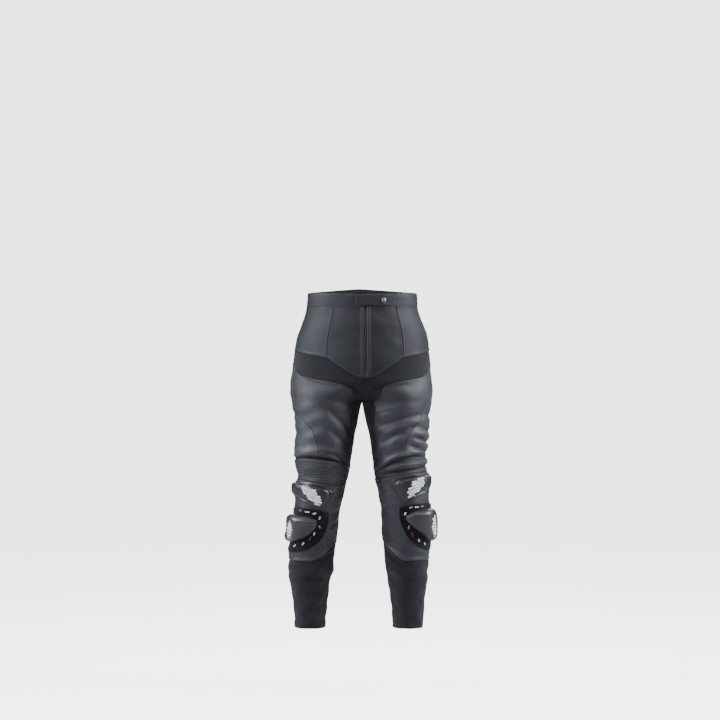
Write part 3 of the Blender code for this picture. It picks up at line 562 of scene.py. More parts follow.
def panelGrid(side, rowSpan, columnSpan, cell, rowCell):
    # Rows and columns of a panel, spread by their real lengths on the skin.
    dense = [np.linspace(*rowSpan, 90), np.linspace(*columnSpan, 60)]
    few = [np.linspace(*rowSpan, 12), np.linspace(*columnSpan, 8)]
    s, z = seamPlaces(side, dense[0], few[1])
    down = arcs(skin(side, s, z), 0)[0].mean(axis=1)
    rowAt = np.interp(spacing(down[-1], rowCell), down, dense[0])
    s, z = seamPlaces(side, few[0], dense[1])
    across = arcs(skin(side, s, z), 1)[0]
    across = across[across[:, -1].argmax()]
    columnAt = np.interp(spacing(across[-1], cell), across, dense[1])
    s, z = seamPlaces(side, rowAt, columnAt)
    return rowAt, columnAt, s, z


def lineDistance(line, s, z):
    # Shortest distance to a polyline, with the ring laid flat at its own length.
    flat = np.array([(a * kneeSeamForm["ring"], b) for a, b in line])
    place = np.stack([s * kneeSeamForm["ring"], z], -1)
    best = np.full(s.shape, 1.0)
    for a, b in zip(flat[:-1], flat[1:]):
        share = np.clip(((place - a) @ (b - a)) / ((b - a) @ (b - a)), 0, 1)
        best = np.minimum(best, np.linalg.norm(place - a - share[..., None] * (b - a), axis=-1))
    return best


def bell(d, width):
    return np.exp(-((d / width) ** 2))


# Sewn edges: how high the cloth stands, over what it rises, from where and over what it falls
# again, and how deep and wide the seam's valley is. A sunk edge only dips, over a short flat.
sewnEdges = {
    "double": (0.0009, 0.0016, 0.0068, 0.0022, 0.0012, 0.0011),
    "single": (0.0004, 0.0014, 0.0036, 0.0026, 0.0009, 0.0010),
    "fly": (0.0018, 0.003, 0.008, 0.006, 0.0012, 0.0012),
    "hem": (0.0007, None, 0.018, 0.0025, 0.0006, 0.0012),
}
sunkEdge = {"depth": 0.0010, "flat": 0.0008, "over": 0.006}


def edgeForm(kind, d):
    # How far the cloth lies above (raise) and below (sink) its skin at d metres from a seam.
    if kind == "sunk":
        return 0 * d, -sunkEdge["depth"] * (1 - ease((d - sunkEdge["flat"]) / sunkEdge["over"]))
    high, rise, until, fall, deep, wide = sewnEdges[kind]
    risen = ease(d / rise) if rise else 1
    return high * (risen - ease((d - until) / fall)), -deep * bell(d, wide)


def clothObject(name, verts, faces, materials, slots=None, wearAndPaintedLight=None, uv=None, sharp=50):
    # A mesh object at the origin, with its mask of rubbed places, painted highlights and painted
    # shade, and its flat cut as attributes.
    mesh = bpy.data.meshes.new(name)
    mesh.from_pydata(verts.tolist(), [], faces if isinstance(faces, list) else faces.tolist())
    for item in materials:
        mesh.materials.append(item)
    if slots is not None:
        mesh.polygons.foreach_set("material_index", slots.astype(np.int32))
    if wearAndPaintedLight is not None:
        wearAndShadeData = mesh.attributes.new("wearAndPaintedLight", "FLOAT", "POINT").data
        wearAndShadeData.foreach_set("value", wearAndPaintedLight.astype(np.float32))
    if uv is not None:
        corner = np.zeros(len(mesh.loops), dtype=np.int32)
        mesh.loops.foreach_get("vertex_index", corner)
        layer = mesh.uv_layers.new(name="cut")
        layer.data.foreach_set("uv", uv[corner].astype(np.float32).ravel())
    mesh.shade_smooth()
    mesh.set_sharp_from_angle(angle=math.radians(sharp))
    mesh.update()
    made = bpy.data.objects.new(name, mesh)
    bpy.context.scene.collection.objects.link(made)
    return made


def evaluated(piece):
    # The piece's mesh with its modifiers applied, which are then taken off it.
    shown = piece.evaluated_get(bpy.context.evaluated_depsgraph_get())
    made = bpy.data.meshes.new_from_object(shown)
    piece.modifiers.clear()
    piece.data = made
    return made


def normalsOut(mesh):
    bm = bmesh.new()
    bm.from_mesh(mesh)
    bmesh.ops.recalc_face_normals(bm, faces=bm.faces)
    bm.to_mesh(mesh)
    bm.free()


def facesOut(verts, faces):
    # Turn every face round when the closed shape's signed volume is negative.
    a, b, c, d = (verts[faces[:, k]] for k in range(4))
    volume = np.einsum("ij,ij->i", a, np.cross(b, c)) + np.einsum("ij,ij->i", a, np.cross(c, d))
    return faces if volume.sum() > 0 else faces[:, ::-1]


def ringFaces(count, wide):
    # Quads between closed rings of points, after the numbers of the points in each ring.
    index = np.arange(count * wide).reshape(count, wide)
    after = np.roll(index, -1, axis=1)
    return index, np.stack([index[:-1], after[:-1], after[1:], index[1:]], -1).reshape(-1, 4)


def wall(name, outer, inner, materials, wearAndPaintedLight=None, uv=None):
    # Two matching grids joined by a rim into one closed wall; the inner one is the lining.
    count, wide = outer.shape[:2]
    index = np.arange(count * wide).reshape(count, wide)
    back = index + count * wide
    front = np.stack([index[:-1, :-1], index[:-1, 1:], index[1:, 1:], index[1:, :-1]], -1)
    behind = np.stack([back[:-1, :-1], back[1:, :-1], back[1:, 1:], back[:-1, 1:]], -1)
    rim = np.concatenate([index[0], index[1:, -1], index[-1, -2::-1], index[-2:0:-1, 0]])
    after = np.roll(rim, -1)
    border = np.stack([after, rim, rim + count * wide, after + count * wide], -1)
    groups = [front.reshape(-1, 4), behind.reshape(-1, 4), border]
    slots = np.repeat([0, len(materials) - 1, 0], [len(group) for group in groups])
    verts = np.concatenate([outer.reshape(-1, 3), inner.reshape(-1, 3)])
    faces = facesOut(verts, np.concatenate(groups))
    if wearAndPaintedLight is not None:
        wearAndPaintedLight = np.concatenate([wearAndPaintedLight.ravel(), np.zeros(count * wide)])
    if uv is not None:
        uv = np.concatenate([uv.reshape(-1, 2)] * 2)
    return clothObject(name, verts, faces, materials, slots, wearAndPaintedLight, uv)


def gridNormal(points, outward):
    # Unit cross product of the grid's two directions, facing the way of outward.
    normal = unit(np.cross(np.gradient(points, axis=0), np.gradient(points, axis=1)))
    return normal * np.sign((normal * outward).sum(-1, keepdims=True))


def lineAt(grid, length, axis, distance):
    # The grid's values where the length from an edge reaches the distance, line by line,
    # without the lines that are too short for it.
    grid = np.moveaxis(grid, axis, 0)
    length = np.moveaxis(length, axis, 0)
    i = np.clip((length < distance).sum(axis=0), 1, len(length) - 1)
    pick = np.arange(length.shape[1])
    low, high = length[i - 1, pick], length[i, pick]
    t = np.clip((distance - low) / np.maximum(high - low, 1e-9), 0, 1)[:, None]
    roomy = length[-1] > 2.2 * distance
    return (grid[i - 1, pick] * (1 - t) + grid[i, pick] * t)[roomy]


stitchForm = {
    "pitch": 0.0042, "length": 0.0031, "width": 0.0009, "height": 0.0005,
    "trim": 0.003, "shoulder": 0.55, "proud": 0.0001,
}


def lengthAlong(path):
    # Length from a polyline's start to each of its points.
    return np.concatenate([[0], np.cumsum(np.linalg.norm(np.diff(path, axis=0), axis=1))])


def readAt(at, length, values):
    # The columns of values, read off at the given lengths.
    return np.stack([np.interp(at, length, column) for column in values.T], 1)


def stitchPlaces(path, normal, closed=False):
    # Middle, way and normal of each stitch along a polyline, spaced by its length.
    if closed:
        path, normal = np.concatenate([path, path[:1]]), np.concatenate([normal, normal[:1]])
    length = lengthAlong(path)
    room = length[-1] - 2 * stitchForm["trim"]
    if length[-1] < 2 * stitchForm["trim"] + 3 * stitchForm["pitch"]:
        return np.zeros((0, 9))
    count = int(room / stitchForm["pitch"])
    at = stitchForm["trim"] + (np.arange(count) + 0.5) * room / count
    half = stitchForm["length"] / 2
    start, end = readAt(at - half, length, path), readAt(at + half, length, path)
    return np.concatenate([(start + end) / 2, end - start, unit(readAt(at, length, normal))], 1)


def stitchMesh(name, places, material):
    # One lozenge of sixteen faces a stitch: two points at the ends, two rings of four between.
    middle, way, out = places[:, :3], unit(places[:, 3:6]), places[:, 6:]
    side = np.cross(out, way)
    size = [stitchForm[key] / 2 for key in ("length", "width", "height")]
    far = stitchForm["shoulder"]
    rings = [(t, a, b) for t in (-far, far) for a, b in ((0, 1), (1, 0), (0, -1), (-1, 0))]
    shape = np.array([(-1, 0, 0), *rings, (1, 0, 0)]) * size
    verts = middle[:, None] + out[:, None] * stitchForm["proud"]
    verts = verts + shape[None, :, :1] * way[:, None] + shape[None, :, 1:2] * side[:, None]
    verts = verts + shape[None, :, 2:] * out[:, None]
    quads = [(1 + k, 1 + (k + 1) % 4, 5 + (k + 1) % 4, 5 + k) for k in range(4)]
    start = [(0, 1 + (k + 1) % 4, 1 + k) for k in range(4)]
    end = [(9, 5 + k, 5 + (k + 1) % 4) for k in range(4)]
    base = np.arange(len(places))[:, None, None] * len(shape)
    faces = []
    for group in (np.array(quads), np.array(start), np.array(end)):
        faces += (group[None] + base).reshape(-1, group.shape[1]).tolist()
    return clothObject(name, verts.reshape(-1, 3), faces, [material])


# ---- shader groups shared by several finishes


def newGroup(name, inputs, outputs):
    # A node group with named float, vector or colour sockets.
    group = bpy.data.node_groups.new(name, "ShaderNodeTree")
    for way, sockets in (("INPUT", inputs), ("OUTPUT", outputs)):
        for label, kind, value in sockets:
            made = group.interface.new_socket(label, in_out=way, socket_type=f"NodeSocket{kind}")
            if value is not None:
                made.default_value = value
    return group, group.nodes.new("NodeGroupInput"), group.nodes.new("NodeGroupOutput")


def plug(tree, socket, value):
    # Another node's socket is linked; anything else becomes the socket's own value.
    if isinstance(value, bpy.types.NodeSocket):
        tree.links.new(value, socket)
    else:
        socket.default_value = value


def addNode(tree, kind, values=(), **settings):
    node = tree.nodes.new(f"ShaderNode{kind}")
    for key, value in settings.items():
        setattr(node, key, value)
    for key, value in dict(values).items():
        plug(tree, node.inputs[key], value)
    return node


def doMath(tree, operation, *values, clamp=False):
    numbers = dict(enumerate(values))
    return addNode(tree, "Math", numbers, operation=operation, use_clamp=clamp).outputs[0]


def mixColour(tree, share, a, b):
    return addNode(tree, "Mix", {0: share, 6: a, 7: b}, data_type="RGBA").outputs[2]


def mapRange(tree, value, low, high, end=1.0, start=0.0, **settings):
    numbers = {0: value, 1: low, 2: high, 3: start, 4: end}
    return addNode(tree, "MapRange", numbers, **settings).outputs[0]


def noise(tree, place, scale, detail, **values):
    values = {"Vector": place, "Scale": scale, "Detail": detail, **values}
    return addNode(tree, "TexNoise", values).outputs[0]


def makeGrainGroup():
    # Pebbled grain: cell borders of two sizes over a slow unevenness.
    group, into, out = newGroup(
        "leather grain",
        (("Vector", "Vector", None), ("Cells", "Float", 620.0), ("Strength", "Float", 1.0)),
        (("Height", "Float", None), ("Crevice", "Float", None)),
    )
    place, size, strength = into.outputs[:3]
    values = {"Vector": place, "Scale": size}
    cells = addNode(group, "TexVoronoi", values, feature="DISTANCE_TO_EDGE").outputs["Distance"]
    values["Scale"] = doMath(group, "MULTIPLY", size, 2.3)
    fine = addNode(group, "TexVoronoi", values, feature="SMOOTH_F1").outputs["Distance"]
    border = mapRange(group, cells, 0.0, 0.22)
    total = doMath(group, "MULTIPLY", border, 0.6)
    total = doMath(group, "ADD", total, doMath(group, "MULTIPLY", fine, 0.25))
    slow = doMath(group, "MULTIPLY", noise(group, place, 95.0, 5.0), 0.8)
    total = doMath(group, "ADD", total, slow)
    plug(group, out.inputs[0], doMath(group, "MULTIPLY", total, strength))
    plug(group, out.inputs[1], doMath(group, "SUBTRACT", 1.0, border, clamp=True))
    return group


def makeWearAndPaintedLightGroup():
    # Rubbed places and painted highlights lighten where the mask is above 0, broken up by noise;
    # painted shade darkens where it is below 0; and a slow uneven tone.
    group, into, out = newGroup(
        "rub, painted light and shade, and tone",
        (("Vector", "Vector", None), ("Wear and painted light", "Float", 0.0),
         ("Base", "Color", (0.03, 0.03, 0.035, 1)),
         ("Worn and lit", "Color", (0.10, 0.10, 0.11, 1)), ("Painted shade", "Color", (0.012, 0.012, 0.014, 1)),
         ("Tone", "Float", 0.25)),
        (("Color", "Color", None), ("Rub and highlight", "Float", None)),
    )
    place, wearAndPaintedLight, base, wornAndLit, deep, tone = into.outputs[:6]
    broken = noise(group, place, 160.0, 6.0)
    rubAndHighlight = doMath(group, "MULTIPLY", mapRange(group, wearAndPaintedLight, 0.1, 1.2), broken)
    rubAndHighlight = doMath(group, "MULTIPLY", rubAndHighlight, 1.5, clamp=True)
    # Painted shade: below 0, in fold valleys and grooves, the colour darkens.
    colour = mixColour(group, mapRange(group, wearAndPaintedLight, -0.1, -1.2, 0.75), base, deep)
    # Above 0 it lightens: rubbing and painted highlight together.
    colour = mixColour(group, rubAndHighlight, colour, wornAndLit)
    swing = mapRange(group, noise(group, place, 11.0, 3.0), 0.3, 0.7)
    swing = doMath(group, "MULTIPLY", swing, tone)
    plug(group, out.inputs[0], mixColour(group, swing, colour, wornAndLit))
    plug(group, out.inputs[1], rubAndHighlight)
    return group


def makeKnitGroup():
    # Rib knit: sine ridges across the cut and shorter loops along it, from the cut's own UV.
    group, into, out = newGroup(
        "rib knit",
        (("Vector", "Vector", None), ("Rib", "Float", 1.6), ("Strength", "Float", 1.0)),
        (("Height", "Float", None), ("Valley", "Float", None)),
    )
    along, down = addNode(group, "SeparateXYZ", {0: into.outputs[0]}).outputs[:2]
    turn = doMath(group, "DIVIDE", 2 * math.pi, into.outputs[1])
    ribs = doMath(group, "SINE", doMath(group, "MULTIPLY", down, turn))
    loops = doMath(group, "MULTIPLY", along, doMath(group, "MULTIPLY", turn, 1.7))
    loops = doMath(group, "SINE", loops)
    ribs = doMath(group, "MULTIPLY", ribs, 0.5)
    height = doMath(group, "ADD", ribs, doMath(group, "MULTIPLY", loops, 0.2))
    height = doMath(group, "ADD", height, 0.5)
    plug(group, out.inputs[0], doMath(group, "MULTIPLY", height, into.outputs[2]))
    plug(group, out.inputs[1], doMath(group, "SUBTRACT", 0.5, ribs, clamp=True))
    return group


grainGroup, wearAndPaintedLightGroup, knitGroup = makeGrainGroup(), makeWearAndPaintedLightGroup(), makeKnitGroup()


def newMaterial(name, roughness, specular=0.5, metallic=0.0, sheen=0.0, coat=0.0):
    made = bpy.data.materials.new(name)
    made.use_nodes = True
    shader = made.node_tree.nodes["Principled BSDF"]
    values = {
        "Roughness": roughness, "Specular IOR Level": specular, "Metallic": metallic,
        "Sheen Weight": sheen, "Sheen Roughness": 0.5, "Coat Weight": coat, "Coat Roughness": 0.3,
    }
    for key, value in values.items():
        shader.inputs[key].default_value = value
    return made, made.node_tree, shader


def addBump(tree, shader, height, distance, strength=1.0):
    bump = addNode(tree, "Bump", {"Height": height, "Distance": distance, "Strength": strength})
    plug(tree, shader.inputs["Normal"], bump.outputs[0])


def wornAndLitTint(tree, base, wornAndLit, deep, tone):
    # The object's own place, and what the shared group of rubbing, painted highlight and painted
    # shade says there.
    place = addNode(tree, "TexCoord").outputs["Object"]
    values = {
        "Vector": place, "Wear and painted light": addNode(tree, "Attribute", attribute_name="wearAndPaintedLight").outputs["Fac"],
        "Base": (*base, 1), "Worn and lit": (*wornAndLit, 1), "Painted shade": (*deep, 1), "Tone": tone,
    }
    return place, addNode(tree, "Group", values, node_tree=wearAndPaintedLightGroup).outputs


def scaled(colour, share):
    return tuple(share * value for value in colour)


def leather(name, base, wornAndLit, deep, roughness, cells=620.0, grain=1.0, tone=0.3, **shine):
    # Grained leather: crevices darker and duller, rubbed places with painted highlights lighter and
    # smoother, fold valleys darker with painted shade.
    made, tree, shader = newMaterial(name, roughness, **shine)
    place, tint = wornAndLitTint(tree, base, wornAndLit, deep, tone)
    values = {"Vector": place, "Cells": cells, "Strength": grain}
    height, crevice = addNode(tree, "Group", values, node_tree=grainGroup).outputs[:2]
    dark = doMath(tree, "MULTIPLY", crevice, 0.35)
    plug(tree, shader.inputs["Base Color"], mixColour(tree, dark, tint["Color"], (*deep, 1)))
    dull = doMath(tree, "MULTIPLY_ADD", crevice, 0.16, roughness)
    dull = doMath(tree, "SUBTRACT", dull, doMath(tree, "MULTIPLY", tint["Rub and highlight"], 0.10))
    plug(tree, shader.inputs["Roughness"], dull)
    addBump(tree, shader, height, 0.00035, 0.7)
    return made


def knit(name, base, light, rib, roughness, sheen):
    # Elastic knit: ribs along the cut, lighter on their tops.
    made, tree, shader = newMaterial(name, roughness, specular=0.25, sheen=sheen)
    cut = addNode(tree, "UVMap", uv_map="cut").outputs[0]
    values = {"Vector": cut, "Rib": rib, "Strength": 1.0}
    height, valley = addNode(tree, "Group", values, node_tree=knitGroup).outputs[:2]
    # Fold ridges painted lighter as highlight and fold valleys darker as shade, as on the leather.
    place, tint = wornAndLitTint(tree, base, light, scaled(base, 0.5), 0.3)
    dark = doMath(tree, "MULTIPLY", valley, 0.6)
    colour = mixColour(tree, dark, tint["Color"], (*scaled(base, 0.4), 1))
    plug(tree, shader.inputs["Base Color"], colour)
    hairs = doMath(tree, "MULTIPLY", noise(tree, place, 1400.0, 2.0), 0.4)
    addBump(tree, shader, doMath(tree, "ADD", height, hairs), 0.0004)
    return made


def fuzz(name, base, light, scale, distance, roughness=0.95):
    # Brushed or felted pile: fine noise in height and tone.
    made, tree, shader = newMaterial(name, roughness, specular=0.15, sheen=0.1)
    place = addNode(tree, "TexCoord").outputs["Object"]
    fine = noise(tree, place, scale, 4.0, Roughness=0.7)
    share = doMath(tree, "MULTIPLY", fine, noise(tree, place, scale / 9, 3.0))
    share = mapRange(tree, share, 0.15, 0.4)
    plug(tree, shader.inputs["Base Color"], mixColour(tree, share, (*base, 1), (*light, 1)))
    addBump(tree, shader, fine, distance)
    return made


def moulded(name, base, wornAndLit, roughness, metallic=0.0):
    # Hard moulded or metal surface: fine specks, soft scuffs and a duller worn tone, lighter where
    # the mask paints highlights.
    made, tree, shader = newMaterial(name, roughness, metallic=metallic)
    place, tint = wornAndLitTint(tree, base, wornAndLit, scaled(base, 0.6), 0.25)
    plug(tree, shader.inputs["Base Color"], tint["Color"])
    slow = noise(tree, place, 60.0, 5.0)
    gloss = doMath(tree, "MULTIPLY_ADD", slow, 0.25, roughness - 0.12)
    plug(tree, shader.inputs["Roughness"], gloss)
    scuffs = doMath(tree, "MULTIPLY", slow, 0.6)
    specks = noise(tree, place, 900.0, 3.0)
    addBump(tree, shader, doMath(tree, "ADD", specks, scuffs), 0.00012)
    return made


panelLeather = leather("panel leather", (0.014, 0.0152, 0.020), (0.052, 0.054, 0.067),
                       (0.004, 0.004, 0.006), 0.48)
# Painted light: the same leather as the panels, made lighter as if lit from the side.
sideLeatherPaintedLight = leather("side leather painted light", (0.026, 0.027, 0.034), (0.070, 0.072, 0.084),
                      (0.008, 0.008, 0.011), 0.45)
# Painted shade: the same leather, made darker and less shiny as if shaded over the hips and waist.
trunkLeatherPaintedShade = leather("trunk leather painted shade", (0.0095, 0.0105, 0.0145), (0.036, 0.039, 0.048),
                       (0.004, 0.004, 0.006), 0.50, specular=0.36)
ribLeather = leather("ribbed leather", (0.016, 0.018, 0.020), (0.050, 0.053, 0.057),
                     (0.005, 0.005, 0.006), 0.55, cells=800.0)
cupLeather = leather("cup leather", (0.0085, 0.009, 0.011), (0.060, 0.061, 0.068),
                     (0.004, 0.004, 0.005), 0.30, grain=0.6, tone=0.12, coat=0.3)
stretchKnit = knit("stretch knit", (0.013, 0.0125, 0.017), (0.024, 0.023, 0.029), 0.016, 0.9, 0.10)
tapeKnit = knit("tape weave", (0.006, 0.006, 0.007), (0.018, 0.018, 0.020), 0.010, 0.8, 0.05)
liningMesh = knit("lining mesh", (0.014, 0.014, 0.016), (0.032, 0.032, 0.034), 0.030, 0.8, 0.1)
loopPile = fuzz("loop pile", (0.0025, 0.0025, 0.0035), (0.012, 0.012, 0.014), 1700.0, 0.0006)
thread = fuzz("thread", (0.012, 0.013, 0.015), (0.038, 0.039, 0.045), 2400.0, 0.0001, 0.6)
sliderShell = moulded("slider shell", (0.020, 0.021, 0.024), (0.100, 0.102, 0.110), 0.34)
snapMetal = moulded("snap metal", (0.28, 0.28, 0.29), (0.50, 0.50, 0.50), 0.34, metallic=1.0)
toothMetal = moulded("zip tooth", (0.10, 0.10, 0.11), (0.28, 0.28, 0.28), 0.36, metallic=0.8)
printInks = [
    moulded("white ink", (0.75, 0.75, 0.76), (0.85, 0.85, 0.85), 0.45),
    moulded("grey ink", (0.32, 0.32, 0.33), (0.42, 0.42, 0.42), 0.5),
    moulded("red ink", (0.30, 0.012, 0.020), (0.40, 0.05, 0.05), 0.5),
]
print("materials: all finishes made from three shader groups")


# ---- cloth panels

cellSize = {"plain": 0.0032, "ribbed": 0.0009}
leatherThick, stretchThick = 0.0020, 0.0016
uvPerMetre = 10
allStitches = {"right": [], "left": []}
# Panels: the rows and columns of seams between which each lies, its cloth, and how it is sewn
# above, below, before and behind.
panels = {
    "front": ((0, 1), (0, 2), trunkLeatherPaintedShade, "single double fly single"),
    "hip": ((0, 1), (2, 4), trunkLeatherPaintedShade, "single double single single"),
    "seat": ((0, 2), (4, 6), trunkLeatherPaintedShade, "single single single single"),
    "groin": ((1, 2), (0, 4), stretchKnit, "sunk sunk sunk sunk"),
    "inner_thigh": ((2, 4), (5, 7), stretchKnit, "sunk sunk sunk sunk"),
    "thigh": ((2, 3), (1, 3), panelLeather, "double double double single"),
    "side": ((2, 3), (3, 4), sideLeatherPaintedLight, "double double single single"),
    "back_thigh": ((2, 4), (4, 5), panelLeather, "single single single double"),
    "accordion": ((3, 4), (1, 4), ribLeather, "sunk sunk single single"),
    "shin": ((4, 6), (1, 4), panelLeather, "double double double double"),
    "calf": ((4, 7), (4, 7), stretchKnit, "sunk hem sunk sunk"),
    "ankle": ((6, 7), (1, 4), stretchKnit, "sunk hem sunk sunk"),
}
stitchRows = {
    "double": (0.0021, 0.0064), "single": (0.0022,), "fly": (0.0062, 0.0100), "hem": (0.0165,),
}
puckers = {"pitch": 0.013, "wander": 2.1, "rate": 61, "height": 0.00022, "away": 0.006}
ribbing = {
    "count": 10, "height": 0.0015, "round": 0.55, "sunk": 0.1, "wander": 0.05,
    "plain": {"right": 0.078, "left": 0.112}, "bare": 0.60,
}
fly = {"gap": 0.0030, "bottom": -0.190, "taper": 0.008, "reach": 0.030, "edge": 0.0028}
# The mask is above 0 on fold ridges and raised seams, where it paints rubbing and highlight, and
# below 0 in the fold valleys, where it paints shade.
wearAndPaintedLightForm = {"fold": 0.003, "least": -1.2, "raised": 0.0010, "share": 0.55, "fly": 1.1}


def cutMap(points):
    # The flat cut's own map: length across and length down.
    return np.stack([arcs(points, 1)[0], arcs(points, 0)[0]], -1) * uvPerMetre


def finish(piece, nodes):
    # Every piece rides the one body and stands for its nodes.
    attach(piece, "root")
    if nodes:
        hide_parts(*nodes)
    return piece


def ribsOf(side, s, share, down, up, right):
    # Ribs that wander a little, from 0 in a groove to 1, and where they have died out.
    calm = ease(share * 6) * ease((1 - share) * 6)
    wander = ribbing["wander"] * np.sin(2 * math.pi * (2.2 * s + 0.7 * share))
    rib = np.abs(np.sin(math.pi * (ribbing["count"] * share + wander * calm)))
    ends = ease((s - ribbing["plain"][side]) / 0.02) * ease(right / 0.012)
    return rib, ends * ease(down / 0.003) * ease(up / 0.003)


def clothPanel(name, side, rows, columns, cloth, sewn):
    # Seams, puckers and ribs raise the skin's grid; the lining follows the bare skin.
    ribbed = name == "accordion"
    rowCell = cellSize["ribbed" if ribbed else "plain"]
    rowAt, columnAt, s, z = panelGrid(side, rows, columns, cellSize["plain"], rowCell)
    bare = skin(side, s, z)
    down, up = arcs(bare, 0)
    left, right = arcs(bare, 1)
    raised, sunk = np.zeros_like(s), np.zeros_like(s)
    edges = list(zip(sewn.split(), (down, up, left, right), (0, 0, 1, 1)))
    for kind, d, axis in edges:
        raise_, sink = edgeForm(kind, d)
        raised, sunk = np.maximum(raised, raise_), np.minimum(sunk, sink)
        if kind in ("single", "double"):
            # The seam draws the leather into small puckers.
            along = down if axis else left
            bend = puckers["wander"] * np.sin(along * puckers["rate"])
            pucker = np.sin(along * 2 * math.pi / puckers["pitch"] + bend)
            near = bell(d - puckers["away"], puckers["away"])
            raised = raised + puckers["height"] * pucker * near
    lift = raised + sunk
    if ribbed:
        rib, ends = ribsOf(side, s, (rowAt - rows[0])[:, None], down, up, right)
        lift = lift + ribbing["height"] * (rib ** ribbing["round"] - ribbing["sunk"]) * ends
    if name in ("accordion", "shin", "thigh"):
        form = kneeSeamForm
        away = lineDistance(kneeSeams[side], np.where(s > 0.8, s - 1, s), z)
        bead = ease(away / form["rise"]) - ease((away - form["until"]) / form["fall"])
        lift = lift + form["groove"] * bell(away, form["width"]) + form["bead"] * bead
        raised = np.maximum(raised, form["bead"] * bead)
    outer = skin(side, s, z, lift)
    normal = skinNormal(side, s, z)
    inner = bare - normal * (stretchThick if cloth is stretchKnit else leatherThick)
    # Fold ridges painted lighter (rubbing and painted highlight) and fold valleys darker as painted
    # shade; raised seam edges lighter too.
    wearAndPaintedLight = np.clip(foldsAt(side, np.mod(s, 1.0), z) / wearAndPaintedLightForm["fold"], wearAndPaintedLightForm["least"], 1)
    wearAndPaintedLight = wearAndPaintedLight + np.clip(raised / wearAndPaintedLightForm["raised"], 0, 1) * wearAndPaintedLightForm["share"]
    if name == "front":
        open_ = fly["gap"] * ease((z[:, :1] - fly["bottom"]) / fly["taper"])
        shift = open_ * (1 - ease(left / fly["reach"]))
        outer[..., 0] += sideSign[side] * shift
        inner[..., 0] += sideSign[side] * shift
        # Painted highlight along each edge of the fly.
        wearAndPaintedLight = wearAndPaintedLight + wearAndPaintedLightForm["fly"] * bell(left - fly["edge"], 0.0018)
    # Rib tops painted lighter as highlight and the grooves darker as shade.
    if ribbed:
        wearAndPaintedLight = wearAndPaintedLight + (rib - ribbing["bare"]) * ends
    uv = np.stack([left, down], -1) * uvPerMetre
    piece = wall(f"{name}_{side}_cloth", outer, inner, [cloth, liningMesh], wearAndPaintedLight, uv)
    facing = gridNormal(outer, normal)
    for kind, d, axis in edges:
        for distance in stitchRows.get(kind, ()):
            path = lineAt(outer, d, axis, distance)
            allStitches[side].append(stitchPlaces(path, lineAt(facing, d, axis, distance)))
    return finish(piece, [f"{name}_{side}"])


def kneeStitches(side, shift):
    # A row of stitches beside the knee's sewn line.
    line = np.array(kneeSeams[side])
    flat = readAt(np.linspace(0, len(line) - 1, 80), np.arange(len(line)), line)
    flat = flat * (kneeSeamForm["ring"], 1)
    way = unit(np.gradient(flat, axis=0))
    flat = flat + shift * np.stack([way[:, 1], -way[:, 0]], 1)
    ring, height = flat[:, 0] / kneeSeamForm["ring"], flat[:, 1]
    path = skin(side, ring, height, kneeSeamForm["bead"])
    allStitches[side].append(stitchPlaces(path, skinNormal(side, ring, height)))


for side in sideSign:
    for name, form in panels.items():
        clothPanel(name, side, *form)
    for shift in (-kneeSeamForm["stitch"], kneeSeamForm["stitch"]):
        kneeStitches(side, shift)
print("panels: 24 pieces of cloth")


# ---- pieces laid on the skin


def onOutline(side, outline, u, v):
    # The place and normal on the skin of a point given inside an outline from -1 to 1.
    s = outline[0][0] + (outline[-1][0] - outline[0][0]) * (u + 1) / 2
    upper, lower = smoothCurve(s, outline, 1), smoothCurve(s, outline, 2)
    return skinAcross(side, s, lower + (upper - lower) * (v + 1) / 2)


def roundSize(u, v, power):
    # How far out a point lies, where 1 is a rounded square.
    return (np.abs(u) ** power + np.abs(v) ** power) ** (1 / power)


def overlayGrid(side, outline, along, up, power):
    # A square grid drawn in to a rounded outline, then laid between its upper and lower edge.
    u, v = np.meshgrid(np.sin(np.linspace(-1, 1, along) * math.pi / 2),
                       np.sin(np.linspace(-1, 1, up) * math.pi / 2))
    square = np.maximum(np.abs(u), np.abs(v))
    scale = square / np.maximum(roundSize(u, v, power), 1e-9)
    u, v = u * scale, v * scale
    return u, v, square, *onOutline(side, outline, u, v)


def rimDistance(points):
    # Shortest straight distance to the border of the grid.
    border = np.concatenate([points[0], points[-1], points[:, 0], points[:, -1]])
    flat = points.reshape(-1, 3)
    far = np.linalg.norm(flat[:, None] - border[None], axis=-1)
    return far.min(axis=1).reshape(points.shape[:2])


# Over the skin: gap below, thickness at the edge, height of the dome, squareness of the outline.
stackForm = {
    "cup": {"gap": 0.00105, "edge": 0.003, "dome": 0.012, "power": 4.5},
    "patch": {"gap": 0.0011, "edge": 0.0014, "power": 4.5},
    "slider": {"gap": 0.0032, "edge": 0.004, "dome": 0.0175, "power": 6.0},
    "tab": {"gap": 0.0010, "edge": 0.0022, "power": 5.0},
}
patchForm = {"round": 0.0008, "border": 0.003, "bead": 0.0004, "pile": 0.00018, "stitch": 0.955}
sliderForm = {
    "brow": 0.92, "low": 0.30, "ridge": 0.94, "ridgeTurn": 0.36, "upper": 1.5, "lower": 0.55,
    "outer": 0.20, "crisp": 30.0, "sunk": 0.0015,
}


def ringStitches(side, outline, power, share, lift):
    # A closed row of stitches inside an outline, at one share of its half size.
    way = np.linspace(0, 2 * math.pi, 400, endpoint=False)
    u, v = np.cos(way), np.sin(way)
    size = roundSize(u, v, power)
    place, normal = onOutline(side, outline, u / size * share, v / size * share)
    allStitches[side].append(stitchPlaces(place + normal * lift, normal, closed=True))


